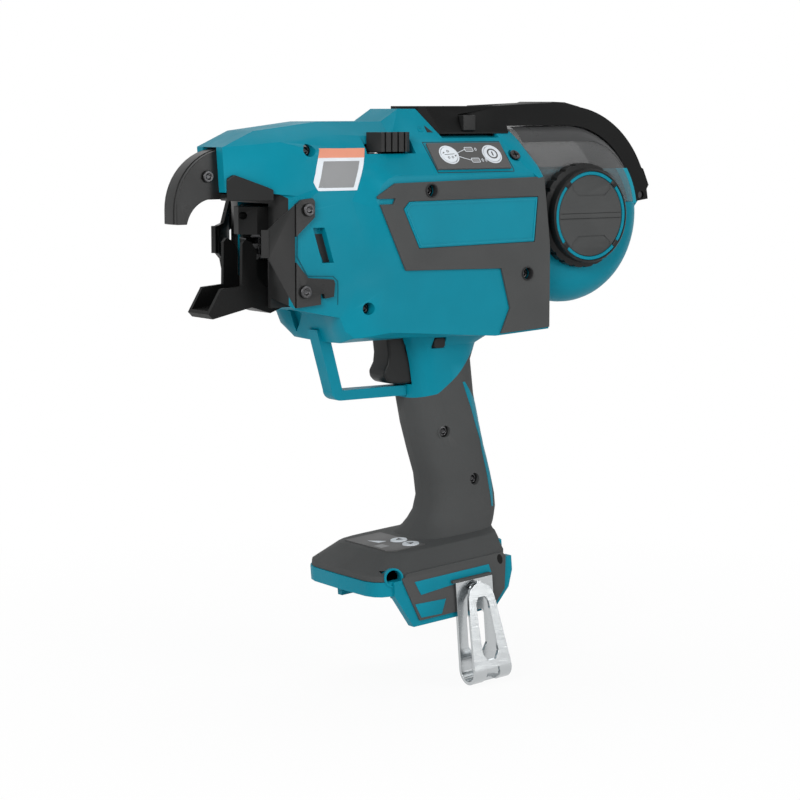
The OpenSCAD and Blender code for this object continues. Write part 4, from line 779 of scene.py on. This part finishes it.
raiseCaseLip(caseLip)
print("case lip raised")

# raised border round each bare badge
badgeBorder = {"outline": [(-25.2, 202.2), (57.2, 202.8), (55.2, 180.9), (-18.8, 179.8), (-28.2, 199.2)],
               "width": 0.9, "rise": 0.3}


def raiseBorders(border):
    outline, width, rise = border["outline"], border["width"], border["rise"]
    front = leftSeat(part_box("badge_left")[0][1] / mm)
    frameLine("badgeBorder", front, "badge_left", tealPlastic, outline, width, rise)
    back = rightSeat(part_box("badge_right")[1][1] / mm)
    frameLine("badgeBorderRight", back, "badge_right", tealPlastic, mirrored(outline), width, rise)


raiseBorders(badgeBorder)
print("badge borders raised")

# teal stripe down the rear of each grip half
gripStripe = {"front": [(24.0, 104.5), (30.3, 91.4), (39.1, 71.2), (42.9, 51.8), (45.2, 34.5)],
              "rear": [(25.6, 104.5), (36.8, 91.4), (44.3, 71.2), (47.0, 51.8), (46.4, 34.5)]}
for name, node, side in (("gripStripe", "grip_left", -1), ("gripStripeRight", "grip_right", 1)):
    film(name, gripStripe["front"], gripStripe["rear"], (8, 40), node, 0.15, 0.3, tealPlastic, side=side)
print("grip stripes laid")

# foot: strips on the skirts, a dark oval of painted shade at the rear, liner of the strap hole
skirt = {"face": -39.0, "strip": [(-23.0, 4.0), (25.6, 8.2), (27.3, 3.7), (-18.8, -3.4)],
         "pad": [(-22.6, -8.0), (-2.7, -7.2), (-5.3, -15.0), (-18.6, -15.6)],
         "farStrip": [(-1.5, 5.6), (25.6, 8.2), (27.3, 4.6), (1.0, 2.2)], "rise": 0.35}
skirtSeat = leftSeat(skirt["face"])
farSeat = rightSeat(-skirt["face"])
plate("skirtStrip", skirtSeat, "foot_rim_left", tealPlastic, skirt["strip"], skirt["rise"])
plate("skirtPad", skirtSeat, "foot_rim_left", tealPlastic, skirt["pad"], skirt["rise"])
plate("skirtStripRight", farSeat, "foot_rim_right", tealPlastic, mirrored(skirt["farStrip"]), skirt["rise"])
footOval = {"centre": (33.2, 10.1), "half": (1.7, 2.7), "slant": 0.55,
            "steps": (0.99, 0.9, 0.7, 0.4, 0, -0.4, -0.7, -0.9, -0.99)}


def ovalEdge(shape, side):
    x, z = shape["centre"]
    wide, tall = shape["half"]
    return [(x + side * wide * (1 - t * t) ** 0.5 - shape["slant"] * t, z + tall * t) for t in shape["steps"]]


# a near-black film of painted shade where a hole is
film("footOval", ovalEdge(footOval, -1), ovalEdge(footOval, 1), (8, 24), "grip_left", 0.05, 0.1, holeShadeFilm)
linerSeat = strapSeat @ Matrix.Translation((0, 0, strapHole["linerRise"]))
tube("strapLiner", linerSeat, "foot_rim_left", tealPlastic, strapHole["outer"], strapHole["inner"],
     strapHole["depth"], 0.3)
print("strap hole lined")

# plain signs on the setting panel of the foot
footSigns = {"down": (-9.72, -5.6), "up": (-10.52, -17.8), "keyRise": 0.54, "arrow": 2.3, "rise": 0.08,
             "wedge": [(-21.5, 7.0), (-20.5, -2.0), (-15.5, -2.0)], "wedgeRise": 0.1,
             "window": [(-26.5, -6.0), (-26.5, -13.0), (-21.0, -13.0), (-21.0, -6.0)]}


def dressFootPanel(setup):
    s = setup["arrow"]
    for name, node, key, turn in (("downArrow", "down_key", "down", -1), ("upArrow", "up_key", "up", 1)):
        seat = footSeat @ Matrix.Translation((*setup[key], setup["keyRise"]))
        arrow = [(turn * s * 0.9, 0), (-turn * s * 0.6, s), (-turn * s * 0.6, -s)]
        plate(name, seat, node, printAndShadeFilm, arrow, setup["rise"], 0)
    plate("forceWedge", footSeat, "foot_panel", whiteFilm, setup["wedge"], setup["wedgeRise"], 0)
    plate("footWindow", footSeat, "foot_panel", paleGreyFilm, setup["window"], setup["rise"], 0)


dressFootPanel(footSigns)
print("foot panel dressed")

# studio: pale floor, soft lamps, white seen by camera, glossy and transmission rays
studio = {"floorDrop": 0.0015, "floorSize": 8.0, "fill": 0.34, "fadeIn": 0.1, "fadeOut": 0.45,
          "shadowPart": 0.93,
          "lamps": [("keyLamp", (-1.3, -0.9, 0.75), (0, 0, 0.12), 0.8, 17.5),
                    ("sideLamp", (0.6, -1.4, 0.5), (0, 0, 0.12), 0.7, 7.5),
                    ("topLamp", (0.1, 0.3, 1.4), (0, 0, 0.15), 0.9, 5)]}


def lamp(name, place, target, size, power):
    clearSelection()
    bpy.ops.object.light_add(type="AREA", location=place)
    light = bpy.context.object
    light.name = name
    light.data.shape = "DISK"
    light.data.size = size
    light.data.energy = power
    light.rotation_euler = (Vector(target) - Vector(place)).to_track_quat("-Z", "Y").to_euler()


def seenWhite(nodes, links):
    path = addNode(nodes, "ShaderNodeLightPath")
    either = addNode(nodes, "ShaderNodeMath", operation="MAXIMUM")
    seen = addNode(nodes, "ShaderNodeMath", operation="MAXIMUM")
    links.new(path.outputs["Is Camera Ray"], either.inputs[0])
    links.new(path.outputs["Is Glossy Ray"], either.inputs[1])
    links.new(either.outputs[0], seen.inputs[0])
    links.new(path.outputs["Is Transmission Ray"], seen.inputs[1])
    return seen.outputs[0]


def layFloor(setup):
    clearSelection()
    low = min(corner[2] for corner in cadBox)
    bpy.ops.mesh.primitive_plane_add(size=setup["floorSize"], location=(0, 0, low - setup["floorDrop"]))
    floor = bpy.context.object
    floor.name = "studioFloor"
    mat, nodes, links, shader = startMaterial("paleFloor")
    shader.inputs["Base Color"].default_value = (0.9, 0.9, 0.9, 1)
    shader.inputs["Roughness"].default_value = 0.9
    glow = addNode(nodes, "ShaderNodeEmission", Color=(1, 1, 1, 1), Strength=1.0)
    place = addNode(nodes, "ShaderNodeTexCoord")
    reach = addNode(nodes, "ShaderNodeVectorMath", operation="LENGTH")
    links.new(place.outputs["Object"], reach.inputs[0])
    fade = addNode(nodes, "ShaderNodeMapRange")
    fade.inputs["From Min"].default_value = setup["fadeIn"]
    fade.inputs["From Max"].default_value = setup["fadeOut"]
    fade.inputs["To Min"].default_value = setup["shadowPart"]
    fade.inputs["To Max"].default_value = 1.0
    links.new(reach.outputs["Value"], fade.inputs["Value"])
    part = addNode(nodes, "ShaderNodeMath", operation="MULTIPLY")
    links.new(seenWhite(nodes, links), part.inputs[0])
    links.new(fade.outputs["Result"], part.inputs[1])
    mix = addNode(nodes, "ShaderNodeMixShader")
    links.new(part.outputs[0], mix.inputs["Fac"])
    links.new(shader.outputs[0], mix.inputs[1])
    links.new(glow.outputs[0], mix.inputs[2])
    links.new(mix.outputs[0], nodes["Material Output"].inputs["Surface"])
    paint(floor, mat)


def lightWorld(setup):
    world = bpy.data.worlds.new("studioWorld")
    scene.world = world
    world.use_nodes = True
    tree = world.node_tree
    sky = tree.nodes["Background"]
    sky.inputs["Color"].default_value = (1, 1, 1, 1)
    level = addNode(tree.nodes, "ShaderNodeMapRange")
    level.inputs["To Min"].default_value = setup["fill"]
    level.inputs["To Max"].default_value = 1.0
    tree.links.new(seenWhite(tree.nodes, tree.links), level.inputs["Value"])
    tree.links.new(level.outputs["Result"], sky.inputs["Strength"])


layFloor(studio)
lightWorld(studio)
for setup in studio["lamps"]:
    lamp(*setup)
print("studio built")
